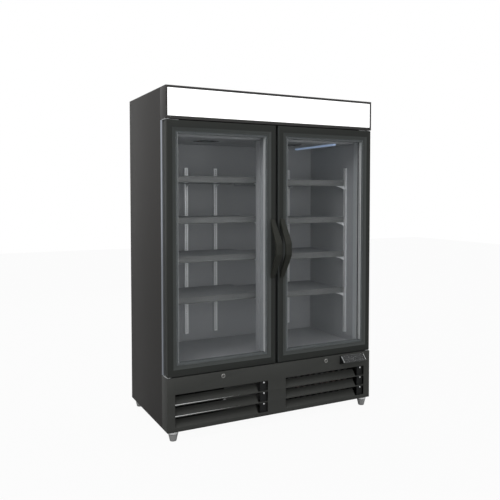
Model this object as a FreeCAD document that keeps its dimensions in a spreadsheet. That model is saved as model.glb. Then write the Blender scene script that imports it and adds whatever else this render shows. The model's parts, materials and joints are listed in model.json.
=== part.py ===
"""Two-door upright glass-front ice merchandiser freezer, modelled as a parametric assembly.

Frame: millimetres, +Z up, +X to the viewer's right, the doors face -Y.  The origin lies on the
floor, under the middle of the whole outline, so the rear face is at +Y and the handles at -Y.
"""
import FreeCAD
import Part
import Sketcher
import math
import os
import re

doc = FreeCAD.newDocument("Merchandiser")
sheet = doc.addObject("Spreadsheet::Sheet", "Sizes")

# Driving dimensions: alias, millimetres (or degrees or a count), what it measures.
SIZES = [
    ("cabinet_width", 1370, "outside width over the side panels"),
    ("cabinet_height", 1902, "underside of the cabinet to its top"),
    ("foot_height", 54, "floor to the underside of the cabinet"),
    ("body_depth", 608, "rear face to the front edge of the side panels"),
    ("skin", 1.5, "thickness of the outer sheet metal"),
    ("liner_sheet", 1.5, "thickness of the inner liner"),
    ("side_wall", 50, "insulated side wall, outside to liner face"),
    ("back_wall", 60, "insulated back wall, outside to liner face"),
    ("roof_wall", 55, "insulated roof, outside to liner face"),
    ("floor_wall", 55, "insulated floor, underside to liner face"),
    ("interior_floor", 340, "liner floor above the cabinet underside"),
    ("frame_depth", 27, "face frame in front of the side panels"),
    ("frame_inset", 2, "face frame set in from the cabinet sides"),
    ("jamb_width", 53, "face frame upright beside each door opening"),
    ("jamb_return", 18, "face frame lining that reaches into the cabinet"),
    ("jamb_sheet", 4, "thickness of that lining"),
    ("opening_bottom", 357, "sill of the door openings above the cabinet underside"),
    ("opening_head_gap", 55, "head of the door openings below the header"),
    ("mullion_width", 110, "centre post between the two bays"),
    ("mullion_depth", 107, "centre post, front to rear"),
    ("fascia_reach", 93, "header and grille panel in front of the side panels"),
    ("header_height", 180, "lit header box"),
    ("sign_side_border", 11, "header metal beside the sign"),
    ("sign_top_border", 13, "header metal above the sign"),
    ("sign_bottom_border", 17, "header metal below the sign"),
    ("sign_sheet", 3, "thickness of the sign panel"),
    ("sign_lap", 4, "sign panel hidden behind its border"),
    ("lamp_width", 24, "light bars, across"),
    ("lamp_height", 12, "light bars, high"),
    ("grille_height", 304, "grille panel, cabinet underside to its ledge"),
    ("louvre_inner", 61, "centre line to the inner end of a louvre field"),
    ("louvre_end_border", 45, "cabinet side to the outer end of a louvre field"),
    ("louvre_bottom", 23, "cabinet underside to the lowest louvre slot"),
    ("louvre_pitch", 64, "slot to slot"),
    ("louvre_lip", 6, "metal between two slots"),
    ("louvre_count", 3, "slots in each field"),
    ("louvre_depth", 34, "blade, front to rear"),
    ("louvre_rise", 38, "blade, bottom to top"),
    ("louvre_pocket", 64, "end of each slot that has no blade"),
    ("post_width", 44, "upright behind each bladeless slot end"),
    ("post_gap", 12, "grille sheet to that upright"),
    ("screw_head_radius", 5.5, "grille screw head"),
    ("screw_head_height", 3.5, "grille screw head"),
    ("screw_inset", 20, "slot end to screw centre"),
    ("screw_drop", 12, "slot top to screw centre"),
    ("hinge_gap", 5, "door to header and door to grille ledge"),
    ("hinge_plate", 3, "thickness of the hinge plates"),
    ("hinge_length", 80, "hinge plates along the door"),
    ("hinge_round", 14, "hinge plate nose round the pin"),
    ("pin_radius", 5, "hinge pins"),
    ("pin_depth", 14, "hinge pin length inside the door"),
    ("running_fit", 0.05, "radial clearance of pins and turning shafts"),
    ("pivot_inset", 15, "hinge axis from the cabinet side"),
    ("pivot_setback", 20, "hinge axis behind the door face"),
    ("door_gap", 20, "between the two doors"),
    ("door_side_inset", 4, "door edge from the cabinet side"),
    ("door_thickness", 52, "door frame, front to rear"),
    ("door_standoff", 16, "door frame to face frame, filled by the gasket"),
    ("stile_width", 42, "upright members of the door frame"),
    ("rail_width", 49, "top and bottom members of the door frame"),
    ("door_step_depth", 12, "rear part of the door frame that is set in"),
    ("door_step", 10, "how far that rear part is set in"),
    ("glass_setback", 6, "glass behind the door face"),
    ("pane", 4, "thickness of each pane"),
    ("pane_gap", 10, "spacer between panes"),
    ("glass_lap", 10, "glass unit hidden in the door frame"),
    ("glass_clearance", 0.5, "glass edge to its groove"),
    ("spacer_width", 34, "edge band of the glass unit"),
    ("gasket_inset", 16, "gasket in from the door edge"),
    ("gasket_width", 22, "gasket, across"),
    ("gasket_gap", 0.4, "relaxed gasket to the face frame"),
    ("handle_height", 348, "door handle, end to end"),
    ("handle_middle", 994, "door handle centre above the cabinet underside"),
    ("handle_reach", 87, "door face to the furthest point of the handle"),
    ("handle_width", 41, "door handle at its middle"),
    ("handle_end_width", 26, "door handle at its ends"),
    ("handle_bar", 17, "thickness of the handle's arms"),
    ("handle_foot", 26, "length of each handle foot on the door"),
    ("handle_inset", 12, "centre line to the near side of the handle"),
    ("handle_peak", 64, "flat length at the handle's bow"),
    ("lock_offset", 7.5, "lock outward of the middle of its half of the front"),
    ("lock_drop", 27.5, "grille ledge to the lock centre"),
    ("lock_radius", 8, "turning plug of each lock"),
    ("lock_wall", 2, "wall of the lock barrel round its plug"),
    ("lock_hole_gap", 0.3, "lock barrel to its hole in the grille panel"),
    ("lock_key_slot", 2, "keyway, across"),
    ("lock_key_depth", 3, "keyway, deep"),
    ("lock_flange", 12.5, "radius of the lock's face ring"),
    ("lock_depth", 26, "lock body behind the panel"),
    ("lock_proud", 2.5, "lock face in front of the panel"),
    ("cam_length", 45, "lock cam, axis to tip"),
    ("cam_width", 14, "lock cam, across"),
    ("cam_sheet", 3, "thickness of the lock cam"),
    ("cam_clearance", 2, "slot round the lock cam"),
    ("control_end_border", 55, "cabinet side to the controller housing"),
    ("control_width", 176, "controller housing, across"),
    ("control_drop", 11, "grille ledge to the top of the controller housing"),
    ("control_height", 52, "controller housing against the panel"),
    ("control_reach", 42, "controller housing in front of the panel, at its foot"),
    ("control_top_reach", 4, "controller housing in front of the panel, at its top"),
    ("control_chin", 14, "rise of the controller housing's underside"),
    ("display_width", 84, "display window"),
    ("display_height", 30, "display window up the slope"),
    ("display_margin", 10, "housing end to the display and on to the buttons"),
    ("display_low", 12, "foot of the slope to the display"),
    ("display_sheet", 2, "thickness of the display window"),
    ("button_radius", 5, "controller buttons"),
    ("button_pitch", 16, "button to button"),
    ("button_proud", 2.2, "button above the sloped face"),
    ("button_length", 8, "button, top to foot"),
    ("button_travel", 1.5, "button stroke"),
    ("button_clearance", 0.3, "button to its hole"),
    ("flap_sheet", 2, "thickness of the clear flap"),
    ("flap_gap", 3.4, "clear flap above the sloped face"),
    ("flap_cheek", 2.5, "housing cheek at each end of the clear flap"),
    ("flap_play", 0.3, "clear flap to those cheeks"),
    ("flap_bead", 2.5, "radius of the bead along the clear flap's hinge edge"),
    ("flap_pin", 1.2, "radius of the clear flap's pins"),
    ("flap_pin_length", 5, "clear flap's pins beyond the cheeks"),
    ("shelf_centre_gap", 12, "centre line to a shelf's inner end"),
    ("shelf_end_gap", 21, "shelf end to the liner's side wall"),
    ("strip_setback", 103, "front edge of the side panels to the front of the price strips"),
    ("shelf_wall_gap", 18, "shelf to the liner's back wall"),
    ("shelf_deck", 6, "thickness of the shelf grid"),
    ("shelf_rail_height", 32, "front and rear rails of a shelf"),
    ("shelf_rail", 5, "thickness of those rails"),
    ("shelf_bar", 6, "grid bars along the shelf"),
    ("shelf_bar_gap", 23, "open space between those bars"),
    ("shelf_bar_count", 14, "open rows in the shelf grid"),
    ("shelf_cross_bar", 10, "bars from front to rear"),
    ("lowest_shelf", 357, "lowest right shelf's strip top above the liner floor"),
    ("wide_step_share", 0.1856, "share of the clear height between shelves 4 and 3, and 2 and 1"),
    ("narrow_step_share", 0.176, "share of the clear height between shelves 3 and 2"),
    ("notch", 12.7, "slot spacing of the standards; the left bay hangs one higher"),
    ("strip_height", 38, "price strip"),
    ("strip_depth", 6, "price strip, front to rear"),
    ("strip_rise", 7, "price strip above the deck"),
    ("standard_width", 22, "shelf standards"),
    ("standard_depth", 12, "shelf standards off the wall"),
    ("standard_foot_gap", 52, "foot of the standards above the liner floor"),
    ("standard_head_gap", 153, "head of the standards below the evaporator cover"),
    ("far_standard_gap", 95, "liner side wall to the left bay's outer standard"),
    ("standard_near", 124, "centre line to the left bay's inner standard"),
    ("standard_right_near", 200, "centre line to the right bay's inner standard"),
    ("right_standard_gap", 195, "liner side wall to the right bay's outer standard"),
    ("side_standard_lead", 5, "side wall standards ahead of the price strips"),
    ("bracket_sheet", 4, "thickness of the shelf brackets"),
    ("bracket_height", 26, "shelf brackets at the standard"),
    ("bracket_tip", 3, "shelf brackets at the tip"),
    ("bracket_reach", 62, "shelf brackets out of the standard"),
    ("canopy_drop", 207, "liner roof to the underside of the evaporator cover"),
    ("canopy_setback", 20, "front edge of the side panels to the evaporator cover"),
    ("canopy_sheet", 2, "thickness of the evaporator cover"),
    ("canopy_clearance", 2, "evaporator cover to the liner"),
    ("evaporator_fan", 85, "radius of the evaporator fan openings"),
    ("evaporator_fan_gap", 335, "liner side wall to each evaporator fan's centre"),
    ("evaporator_fan_setback", 330, "rear face to the evaporator fans"),
    ("guard_rim", 6, "rim and bars of the evaporator fan guards"),
    ("running_gap", 0.5, "fan hub to its motor"),
    ("blade_clearance", 8, "fan blade tip to its ring"),
    ("ceiling_lamp_gap", 135, "liner side wall to the ceiling light's middle"),
    ("ceiling_lamp_rear", 20, "ceiling light short of the evaporator cover's rear"),
    ("ceiling_lamp_front", 26, "ceiling light short of the evaporator cover's front"),
    ("pan_sheet", 3, "thickness of the base pan"),
    ("pan_flange", 18, "upturned edge of the base pan"),
    ("foot_inset", 42, "foot centre from the cabinet side"),
    ("front_foot_inset", 29, "grille panel face to the front feet"),
    ("rear_foot_inset", 32, "rear face to the rear feet"),
    ("foot_sole", 19, "radius of the foot at the floor"),
    ("foot_flare", 29, "radius of the foot under the cabinet"),
    ("foot_collar", 12, "height of the foot's straight collar"),
    ("foot_seat_gap", 0.3, "foot collar to the base pan"),
    ("stud_radius", 6, "threaded stud of each foot"),
    ("stud_length", 42, "threaded stud above the foot"),
    ("stud_clearance", 0.3, "stud to its hole in the pan"),
    ("condenser_end_gap", 135, "cabinet side to the condenser"),
    ("condenser_width", 400, "condenser block"),
    ("condenser_height", 220, "condenser block"),
    ("condenser_depth", 70, "condenser block"),
    ("condenser_front_gap", 61, "grille panel face to the condenser"),
    ("condenser_fin_gap", 12, "air gaps between the condenser fins"),
    ("condenser_fin", 4, "thickness of a condenser fin"),
    ("condenser_fin_count", 24, "air gaps"),
    ("condenser_fan", 92, "radius of the condenser fan opening"),
    ("shroud_depth", 46, "condenser fan shroud"),
    ("shroud_sheet", 4, "thickness of the shroud plate"),
    ("motor_radius", 30, "fan motors"),
    ("motor_length", 36, "fan motors"),
    ("hub_radius", 20, "fan hubs"),
    ("hub_length", 22, "fan hubs"),
    ("shaft_radius", 4, "fan motor shafts"),
    ("blade_count", 5, "blades on each fan"),
    ("blade_chord", 30, "fan blade across its face"),
    ("blade_sheet", 2, "fan blade thickness"),
    ("compressor_radius", 92, "compressor shell"),
    ("compressor_height", 190, "compressor shell"),
    ("compressor_gap", 405, "cabinet side to the compressor centre"),
    ("compressor_setback", 330, "rear face to the compressor centre"),
    ("compressor_base", 12, "compressor mounting plate"),
    ("coil_end_gap", 185, "liner side wall to the evaporator block"),
    ("coil_depth", 90, "evaporator block"),
    ("coil_height", 130, "evaporator block"),
    ("coil_setback", 190, "rear face to the evaporator block's front"),
    ("vent_end_gap", 475, "cabinet side to the rear vent slots"),
    ("vent_slot", 9, "height of a rear vent slot"),
    ("vent_pitch", 20, "rear vent slot to slot"),
    ("vent_count", 9, "rear vent slots"),
    ("vent_bottom", 60, "cabinet underside to the lowest rear vent slot"),
    ("inlet_gap", 125, "cabinet side to the power inlet centre"),
    ("inlet_rise", 130, "power inlet above the cabinet underside"),
    ("inlet_width", 50, "power inlet body"),
    ("inlet_height", 30, "power inlet body"),
    ("inlet_depth", 34, "power inlet body"),
    ("inlet_socket", 20, "depth of the power inlet's mouth"),
    ("inlet_wall", 4, "wall round the power inlet's mouth"),
]

# Lengths and places that follow from the driving dimensions.
WORKED_OUT = {
    "overall_depth": "body_depth + frame_depth + door_standoff + door_thickness + handle_reach",
    "back_y": "overall_depth / 2",
    "body_front_y": "back_y - body_depth",
    "frame_front_y": "body_front_y - frame_depth",
    "door_back_y": "frame_front_y - door_standoff",
    "door_front_y": "door_back_y - door_thickness",
    "fascia_front_y": "body_front_y - fascia_reach",
    "liner_back_y": "back_y - back_wall",
    "half_width": "cabinet_width / 2",
    "liner_half": "half_width - side_wall",
    "base_z": "foot_height",
    "top_z": "base_z + cabinet_height",
    "ledge_z": "base_z + grille_height",
    "header_z": "top_z - header_height",
    "floor_z": "base_z + interior_floor",
    "foam_z": "floor_z - floor_wall",
    "ceiling_z": "top_z - roof_wall",
    "door_z": "ledge_z + hinge_gap",
    "door_height": "header_z - hinge_gap - door_z",
    "door_width": "(cabinet_width - door_gap) / 2 - door_side_inset",
    "door_edge": "half_width - door_side_inset",
    "pivot_x": "half_width - pivot_inset",
    "pivot_y": "door_front_y + pivot_setback",
    "opening_z": "base_z + opening_bottom",
    "opening_height": "header_z - opening_head_gap - opening_z",
    "opening_edge": "half_width - frame_inset - jamb_width",
    "frame_half": "half_width - frame_inset",
    "mullion_back_y": "frame_front_y + mullion_depth",
    "glass_front_y": "door_front_y + glass_setback",
    "glass_pack": "3 * pane + 2 * pane_gap",
    "louvre_outer": "half_width - louvre_end_border",
    "slot_height": "louvre_pitch - louvre_lip",
    "slot_length": "louvre_outer - louvre_inner",
    "lock_centre": "half_width / 2 + lock_offset",
    "lock_z": "ledge_z - lock_drop",
    "cam_y": "fascia_front_y + lock_depth - cam_sheet",
    "canopy_z": "ceiling_z - canopy_drop",
    "canopy_front_y": "body_front_y + canopy_setback",
    "canopy_rear_y": "liner_back_y - canopy_clearance",
    "clear_height": "canopy_z - floor_z",
    "wide_step": "round(wide_step_share * clear_height / notch) * notch",
    "narrow_step": "round(narrow_step_share * clear_height / notch) * notch",
    "shelf_end": "liner_half - shelf_end_gap",
    "shelf_width": "shelf_end - shelf_centre_gap",
    "shelf_front_y": "body_front_y + strip_setback",
    "shelf_rear_y": "liner_back_y - shelf_wall_gap",
    "deck_front_y": "shelf_front_y + strip_depth",
    "deck_depth": "shelf_rear_y - deck_front_y",
    "standard_z": "floor_z + standard_foot_gap",
    "standard_length": "clear_height - standard_foot_gap - standard_head_gap",
    "standard_far": "liner_half - far_standard_gap",
    "standard_middle": "(standard_far + standard_near) / 2",
    "standard_right_far": "liner_half - right_standard_gap",
    "side_standard_y": "shelf_front_y - side_standard_lead",
    "pan_top_z": "base_z + pan_sheet",
    "post_y": "fascia_front_y + skin + post_gap",
    "control_left": "half_width - control_end_border - control_width",
    "condenser_left": "half_width - condenser_end_gap - condenser_width",
    "condenser_y": "fascia_front_y + condenser_front_gap",
    "fan_x": "liner_half - evaporator_fan_gap",
    "inlet_x": "half_width - inlet_gap",
    "control_z": "ledge_z - control_drop - control_height",
    "slope_run": "control_reach - control_top_reach",
    "slope_rise": "control_height - control_chin",
    "slope_length": "sqrt(slope_run ^ 2 + slope_rise ^ 2)",
    "slope_angle": "atan(slope_run / slope_rise)",
}

for row, (alias, number, meaning) in enumerate(SIZES, 1):
    sheet.set(f"A{row}", meaning)
    sheet.set(f"B{row}", str(number))
    sheet.setAlias(f"B{row}", alias)
doc.recompute()

ALIASES = {alias for alias, number, meaning in SIZES}
WORD = re.compile(r"[A-Za-z_]\w*")
PARTS = []


# ---------------------------------------------------------------- helpers
def expand(text):
    """The expression with each named value replaced by its cell or its own expression."""
    def swap(match):
        word = match.group(0)
        if word in ALIASES:
            return "Sizes." + word
        if word in WORKED_OUT:
            return "(" + expand(WORKED_OUT[word]) + ")"
        return word
    return WORD.sub(swap, text)


def bind(piece, prop, text):
    """Let a property follow an expression of named values."""
    piece.setExpression(prop, expand(text))


def place(piece, corner, turn=FreeCAD.Rotation(), angle=None):
    """Put a piece at a corner given as three expressions; an angle, if given, follows the sizes."""
    piece.Placement = FreeCAD.Placement(FreeCAD.Vector(), turn)
    for letter, text in zip("xyz", corner):
        bind(piece, "Placement.Base." + letter, text)
    if angle is not None:
        bind(piece, "Placement.Rotation.Angle", angle)
    return piece


def node(piece, name):
    """Name a sub-part and put it on the list of pieces to write."""
    piece.Label = name
    PARTS.append(piece)
    return piece


def box(size, corner, label="Box"):
    """Box with its low corner at the given place."""
    piece = doc.addObject("Part::Box", label)
    for prop, text in zip(("Length", "Width", "Height"), size):
        bind(piece, prop, text)
    return place(piece, corner)


X_AXIS = FreeCAD.Vector(1, 0, 0)
Y_AXIS = FreeCAD.Vector(0, 1, 0)
Z_AXIS = FreeCAD.Vector(0, 0, 1)
QUARTER = 90
TURNS = {
    "z": FreeCAD.Rotation(),
    "y": FreeCAD.Rotation(X_AXIS, -QUARTER),
    "x": FreeCAD.Rotation(Y_AXIS, QUARTER),
}


def rod(radius, length, start, along="z"):
    """Round bar from a start point along +X, +Y or +Z."""
    piece = doc.addObject("Part::Cylinder", "Rod")
    bind(piece, "Radius", radius)
    bind(piece, "Height", length)
    return place(piece, start, TURNS[along])


def joined(pieces, label="Joined"):
    """One solid from several that touch or overlap."""
    piece = doc.addObject("Part::MultiFuse", label)
    piece.Shapes = pieces
    piece.Refine = True
    return piece


def together(pieces, label="Set"):
    """Like pieces kept as separate solids under one name."""
    piece = doc.addObject("Part::Compound", label)
    piece.Links = pieces
    return piece


def cut(base, tools, label="Cut"):
    """Base less every tool."""
    piece = doc.addObject("Part::Cut", label)
    piece.Base = base
    piece.Tool = tools[0] if len(tools) == 1 else together(tools)
    return piece


def shell(size, corner, wall, open_sides, label="Shell"):
    """Sheet box; open_sides names the sides left open, out of -x +x -y +y -z +z."""
    outer = box(size, corner)
    inner_size = []
    inner_corner = []
    for axis, length, start in zip("xyz", size, corner):
        low = "0" if "-" + axis in open_sides else wall
        high = "0" if "+" + axis in open_sides else wall
        low_cut = f"{low} - 1" if low == "0" else low
        high_cut = f"{high} - 1" if high == "0" else high
        inner_size.append(f"{length} - ({low_cut}) - ({high_cut})")
        inner_corner.append(f"{start} + ({low_cut})")
    return cut(outer, [box(inner_size, inner_corner)], label)


def body(name):
    """Empty sketch-based body."""
    return doc.addObject("PartDesign::Body", name)


def sketch_on(owner, role, offset="0"):
    """Sketch on one of the body's own origin planes, moved along that plane's normal."""
    sketch = owner.newObject("Sketcher::SketchObject", "Sketch")
    plane = next(item for item in owner.Origin.OriginFeatures if item.Role == role)
    sketch.AttachmentSupport = [(plane, "")]
    sketch.MapMode = "FlatFace"
    bind(sketch, "AttachmentOffset.Base.z", offset)
    return sketch


def pin_point(sketch, geometry, point, x, y):
    """Hold one sketch point at two expressions from the origin."""
    for kind, text in (("DistanceX", x), ("DistanceY", y)):
        index = sketch.addConstraint(Sketcher.Constraint(kind, geometry, point, 1.0))
        sketch.renameConstraint(index, f"{kind}{index}")
        bind(sketch, f"Constraints.{kind}{index}", text)


def outline(sketch, corners):
    """Closed outline with straight sides between corners given as pairs of expressions."""
    count = len(corners)
    turn = 2 * math.pi / count
    ring = [FreeCAD.Vector(math.cos(turn * i), math.sin(turn * i), 0) for i in range(count)]
    first = sketch.GeometryCount
    for i in range(count):
        sketch.addGeometry(Part.LineSegment(ring[i], ring[(i + 1) % count]), False)
    for i in range(count):
        following = first + (i + 1) % count
        sketch.addConstraint(Sketcher.Constraint("Coincident", first + i, 2, following, 1))
    for i, (x, y) in enumerate(corners):
        pin_point(sketch, first + i, 1, x, y)


def rectangle(sketch, left, low, width, height):
    """Upright rectangle in a sketch."""
    right = f"{left} + {width}"
    high = f"{low} + {height}"
    outline(sketch, [(left, low), (right, low), (right, high), (left, high)])


def circle(sketch, x, y, radius):
    """Circle in a sketch."""
    index = sketch.addGeometry(Part.Circle(FreeCAD.Vector(0, 0, 0), Z_AXIS, 1), False)
    pin_point(sketch, index, 3, x, y)
    size = sketch.addConstraint(Sketcher.Constraint("Radius", index, 1.0))
    sketch.renameConstraint(size, f"Radius{size}")
    bind(sketch, f"Constraints.Radius{size}", radius)


def feature(owner, kind, sketch, length, back=False):
    """Pad or Pocket from a sketch; back turns it against its usual way."""
    made = owner.newObject("PartDesign::" + kind, kind)
    made.Profile = sketch
    bind(made, "Length", length)
    made.Reversed = back
    sketch.Visibility = False
    return made


def repeat(owner, original, direction, pitch, count):
    """Row of copies of one feature along an origin axis, a fixed pitch apart."""
    made = owner.newObject("PartDesign::LinearPattern", "Row")
    made.Originals = [original]
    axis = next(item for item in owner.Origin.OriginFeatures if item.Role == direction)
    made.Direction = (axis, [""])
    bind(made, "Length", f"({pitch}) * ({count} - 1)")
    bind(made, "Occurrences", count)
    owner.Tip = made
    return made


def ring_of(size, corner, side, top, label="Ring"):
    """Upright rectangular frame: a box less an opening with the given side and top widths."""
    inner_size = (f"{size[0]} - 2 * {side}", f"{size[1]} + 2", f"{size[2]} - 2 * {top}")
    inner_corner = (f"{corner[0]} + {side}", f"{corner[1]} - 1", f"{corner[2]} + {top}")
    return cut(box(size, corner), [box(inner_size, inner_corner)], label)


def sided(sign, text):
    """An X place on the left (-1) or right (+1) of the centre line."""
    return f"{sign} * ({text})"


def low_x(sign, near, far):
    """Lower X of a span that runs from near to far off the centre line."""
    return f"0 - ({far})" if sign < 0 else near


SIDES = (("left", -1), ("right", 1))
FOOT_ROWS = {"front": "fascia_front_y + front_foot_inset", "rear": "back_y - rear_foot_inset"}


# ---------------------------------------------------------------- cabinet shell
def side_panels():
    for side, sign in SIDES:
        sheet_x = low_x(sign, "half_width - skin", "half_width")
        panel = box(("skin", "body_depth", "cabinet_height"), (sheet_x, "body_front_y", "base_z"))
        node(panel, f"side_panel_{side}")


def top_panel():
    size = ("cabinet_width - 2 * skin", "body_depth", "skin")
    node(box(size, ("skin - half_width", "body_front_y", "top_z - skin")), "top_panel")


def rear_panel():
    """Sheet with a field of air slots over the machine space and the hole for the power inlet."""
    panel = body("RearPanel")
    face = sketch_on(panel, "XZ_Plane")
    rectangle(face, "skin - half_width", "0", "cabinet_width - 2 * skin", "cabinet_height - skin")
    feature(panel, "Pad", face, "skin", True)
    socket = sketch_on(panel, "XZ_Plane")
    rectangle(socket, "inlet_x - inlet_width / 2", "inlet_rise - inlet_height / 2",
              "inlet_width", "inlet_height")
    feature(panel, "Pocket", socket, "skin")
    slot = sketch_on(panel, "XZ_Plane")
    rectangle(slot, "vent_end_gap - half_width", "vent_bottom", "cabinet_width - 2 * vent_end_gap",
              "vent_slot")
    slots = feature(panel, "Pocket", slot, "skin")
    repeat(panel, slots, "Z_Axis", "vent_pitch", "vent_count")
    node(place(panel, ("0", "back_y - skin", "base_z")), "rear_panel")


def base_pan():
    """Shallow tray under the machine space, with uprights behind the bladeless slot ends."""
    corner = ("skin - half_width", "fascia_front_y + skin", "base_z")
    depth = "back_y - fascia_front_y - 2 * skin"
    size = ("cabinet_width - 2 * skin", depth, "pan_flange")
    tray = shell(size, corner, "pan_sheet", ["+z"])
    pieces = [tray]
    for side, sign in SIDES:
        near = "louvre_outer - post_width" if sign > 0 else "louvre_inner"
        far = "louvre_outer" if sign > 0 else "louvre_inner + post_width"
        post = ("post_width", "pan_sheet", "foam_z - base_z")
        pieces.append(box(post, (low_x(sign, near, far), "post_y", "base_z")))
    holes = []
    for side, sign in SIDES:
        for foot_y in FOOT_ROWS.values():
            centre = (sided(sign, "half_width - foot_inset"), foot_y, "base_z - 1")
            holes.append(rod("stud_radius + stud_clearance", "pan_sheet + 2", centre))
    node(cut(joined(pieces), holes), "base_pan")


def insulation():
    """Foam box round the inner liner, open at the front."""
    corner = ("skin - half_width", "body_front_y", "foam_z")
    size = ("cabinet_width - 2 * skin", "body_depth - skin", "top_z - skin - foam_z")
    hollow = ("2 * (liner_half + liner_sheet)", "body_depth - back_wall + liner_sheet + 1",
              "ceiling_z - floor_z + 2 * liner_sheet")
    hollow_corner = ("0 - liner_half - liner_sheet", "body_front_y - 1", "floor_z - liner_sheet")
    node(cut(box(size, corner), [box(hollow, hollow_corner)]), "insulation")


def inner_liner():
    corner = ("0 - liner_half - liner_sheet", "body_front_y", "floor_z - liner_sheet")
    size = ("2 * (liner_half + liner_sheet)", "body_depth - back_wall + liner_sheet",
            "ceiling_z - floor_z + 2 * liner_sheet")
    node(shell(size, corner, "liner_sheet", ["-y"]), "inner_liner")


def face_frame():
    """Frame round both door openings, with a lining that reaches into the cabinet."""
    size = ("2 * frame_half", "frame_depth", "header_z - ledge_z")
    front = box(size, ("0 - frame_half", "frame_front_y", "ledge_z"))
    lining_size = ("2 * (opening_edge + jamb_sheet)", "jamb_return", "opening_height + 2 * jamb_sheet")
    lining_corner = ("0 - opening_edge - jamb_sheet", "body_front_y", "opening_z - jamb_sheet")
    lining = box(lining_size, lining_corner)
    hole = box(("2 * opening_edge", "frame_depth + jamb_return + 2", "opening_height"),
               ("0 - opening_edge", "frame_front_y - 1", "opening_z"))
    node(cut(joined([front, lining]), [hole]), "face_frame")


def mullion():
    """Centre post; its rear part stops under the evaporator cover."""
    corner = ("0 - mullion_width / 2", "frame_front_y", "opening_z")
    front_depth = "canopy_front_y - canopy_clearance - frame_front_y"
    rear_height = "canopy_z - canopy_clearance - opening_z"
    front = box(("mullion_width", front_depth, "opening_height"), corner)
    whole = box(("mullion_width", "mullion_depth", rear_height), corner)
    node(joined([front, whole]), "mullion")


# ---------------------------------------------------------------- header
def header():
    """Sheet box with the sign let into its front and a light bar on its floor."""
    corner = ("0 - half_width", "fascia_front_y", "header_z")
    hull = shell(("cabinet_width", "fascia_reach", "header_height"), corner, "skin", ["+y"])
    sign_corner = ("sign_side_border - half_width", "fascia_front_y - 1", "header_z + sign_bottom_border")
    sign_size = ("cabinet_width - 2 * sign_side_border", "skin + 2",
                 "header_height - sign_top_border - sign_bottom_border")
    node(cut(hull, [box(sign_size, sign_corner)]), "header_housing")
    panel_corner = ("sign_side_border - sign_lap - half_width", "fascia_front_y + skin",
                    "header_z + sign_bottom_border - sign_lap")
    panel_size = ("cabinet_width - 2 * (sign_side_border - sign_lap)", "sign_sheet",
                  "header_height - sign_top_border - sign_bottom_border + 2 * sign_lap")
    node(box(panel_size, panel_corner), "sign_panel")
    lamp_size = ("cabinet_width - 8 * sign_side_border", "lamp_width", "lamp_height")
    lamp_corner = ("4 * sign_side_border - half_width", "body_front_y - lamp_width - lamp_height",
                   "header_z + skin")
    node(box(lamp_size, lamp_corner), "sign_lamp")


# ---------------------------------------------------------------- grille panel
def louvre_blade(owner, left, width, rise):
    """Sheet blade that climbs from a slot's bottom edge towards the rear."""
    profile = sketch_on(owner, "YZ_Plane", left)
    outline(profile, [("0", f"{rise} - louvre_lip"), ("skin", f"{rise} - louvre_lip"), ("skin", rise),
                      ("louvre_depth", f"{rise} + louvre_rise - skin"),
                      ("louvre_depth", f"{rise} + louvre_rise"), ("0", rise)])
    return feature(owner, "Pad", profile, width)


def grille_panel():
    """Front sheet with side returns and a ledge, two fields of slots and their pressed blades."""
    panel = body("GrillePanel")
    block = sketch_on(panel, "XY_Plane")
    rectangle(block, "0", "0", "cabinet_width", "fascia_reach")
    feature(panel, "Pad", block, "grille_height")
    inside = sketch_on(panel, "XY_Plane")
    rectangle(inside, "skin", "skin", "cabinet_width - 2 * skin", "fascia_reach")
    feature(panel, "Pocket", inside, "grille_height - skin", True)
    for side, sign in SIDES:
        slot_left = "half_width + " + low_x(sign, "louvre_inner", "louvre_outer")
        slot = sketch_on(panel, "XZ_Plane")
        rectangle(slot, slot_left, "louvre_bottom", "slot_length", "slot_height")
        slots = feature(panel, "Pocket", slot, "skin", False)
        repeat(panel, slots, "Z_Axis", "louvre_pitch", "louvre_count")
        blade = louvre_blade(panel, slot_left, "slot_length - louvre_pocket", "louvre_bottom")
        repeat(panel, blade, "Z_Axis", "louvre_pitch", "louvre_count")
        lock = sketch_on(panel, "XZ_Plane")
        circle(lock, "half_width + " + sided(sign, "lock_centre"), "grille_height - lock_drop",
               "lock_radius + running_fit + lock_wall + lock_hole_gap")
        feature(panel, "Pocket", lock, "skin", False)
        gate = sketch_on(panel, "XY_Plane")
        centre = "half_width + " + sided(sign, "lock_centre")
        rectangle(gate, f"{centre} - cam_width / 2 - cam_clearance",
                  "lock_depth - cam_sheet - cam_clearance",
                  "cam_length + cam_width / 2 + 2 * cam_clearance", "cam_sheet + 2 * cam_clearance")
        feature(panel, "Pocket", gate, "grille_height + 1", True)
    node(place(panel, ("0 - half_width", "fascia_front_y", "base_z")), "grille_panel")


def grille_screws():
    """One round-headed screw in each bladeless slot end, driven into the upright behind."""
    screws = []
    for side, sign in SIDES:
        offset = "louvre_outer - screw_inset" if sign > 0 else "louvre_inner + screw_inset"
        for level in range(3):
            height = f"base_z + louvre_bottom + slot_height + {level} * louvre_pitch - screw_drop"
            start = (sided(sign, offset), "post_y - screw_head_height", height)
            screws.append(rod("screw_head_radius", "screw_head_height", start, "y"))
    node(together(screws), "grille_screws")


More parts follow.
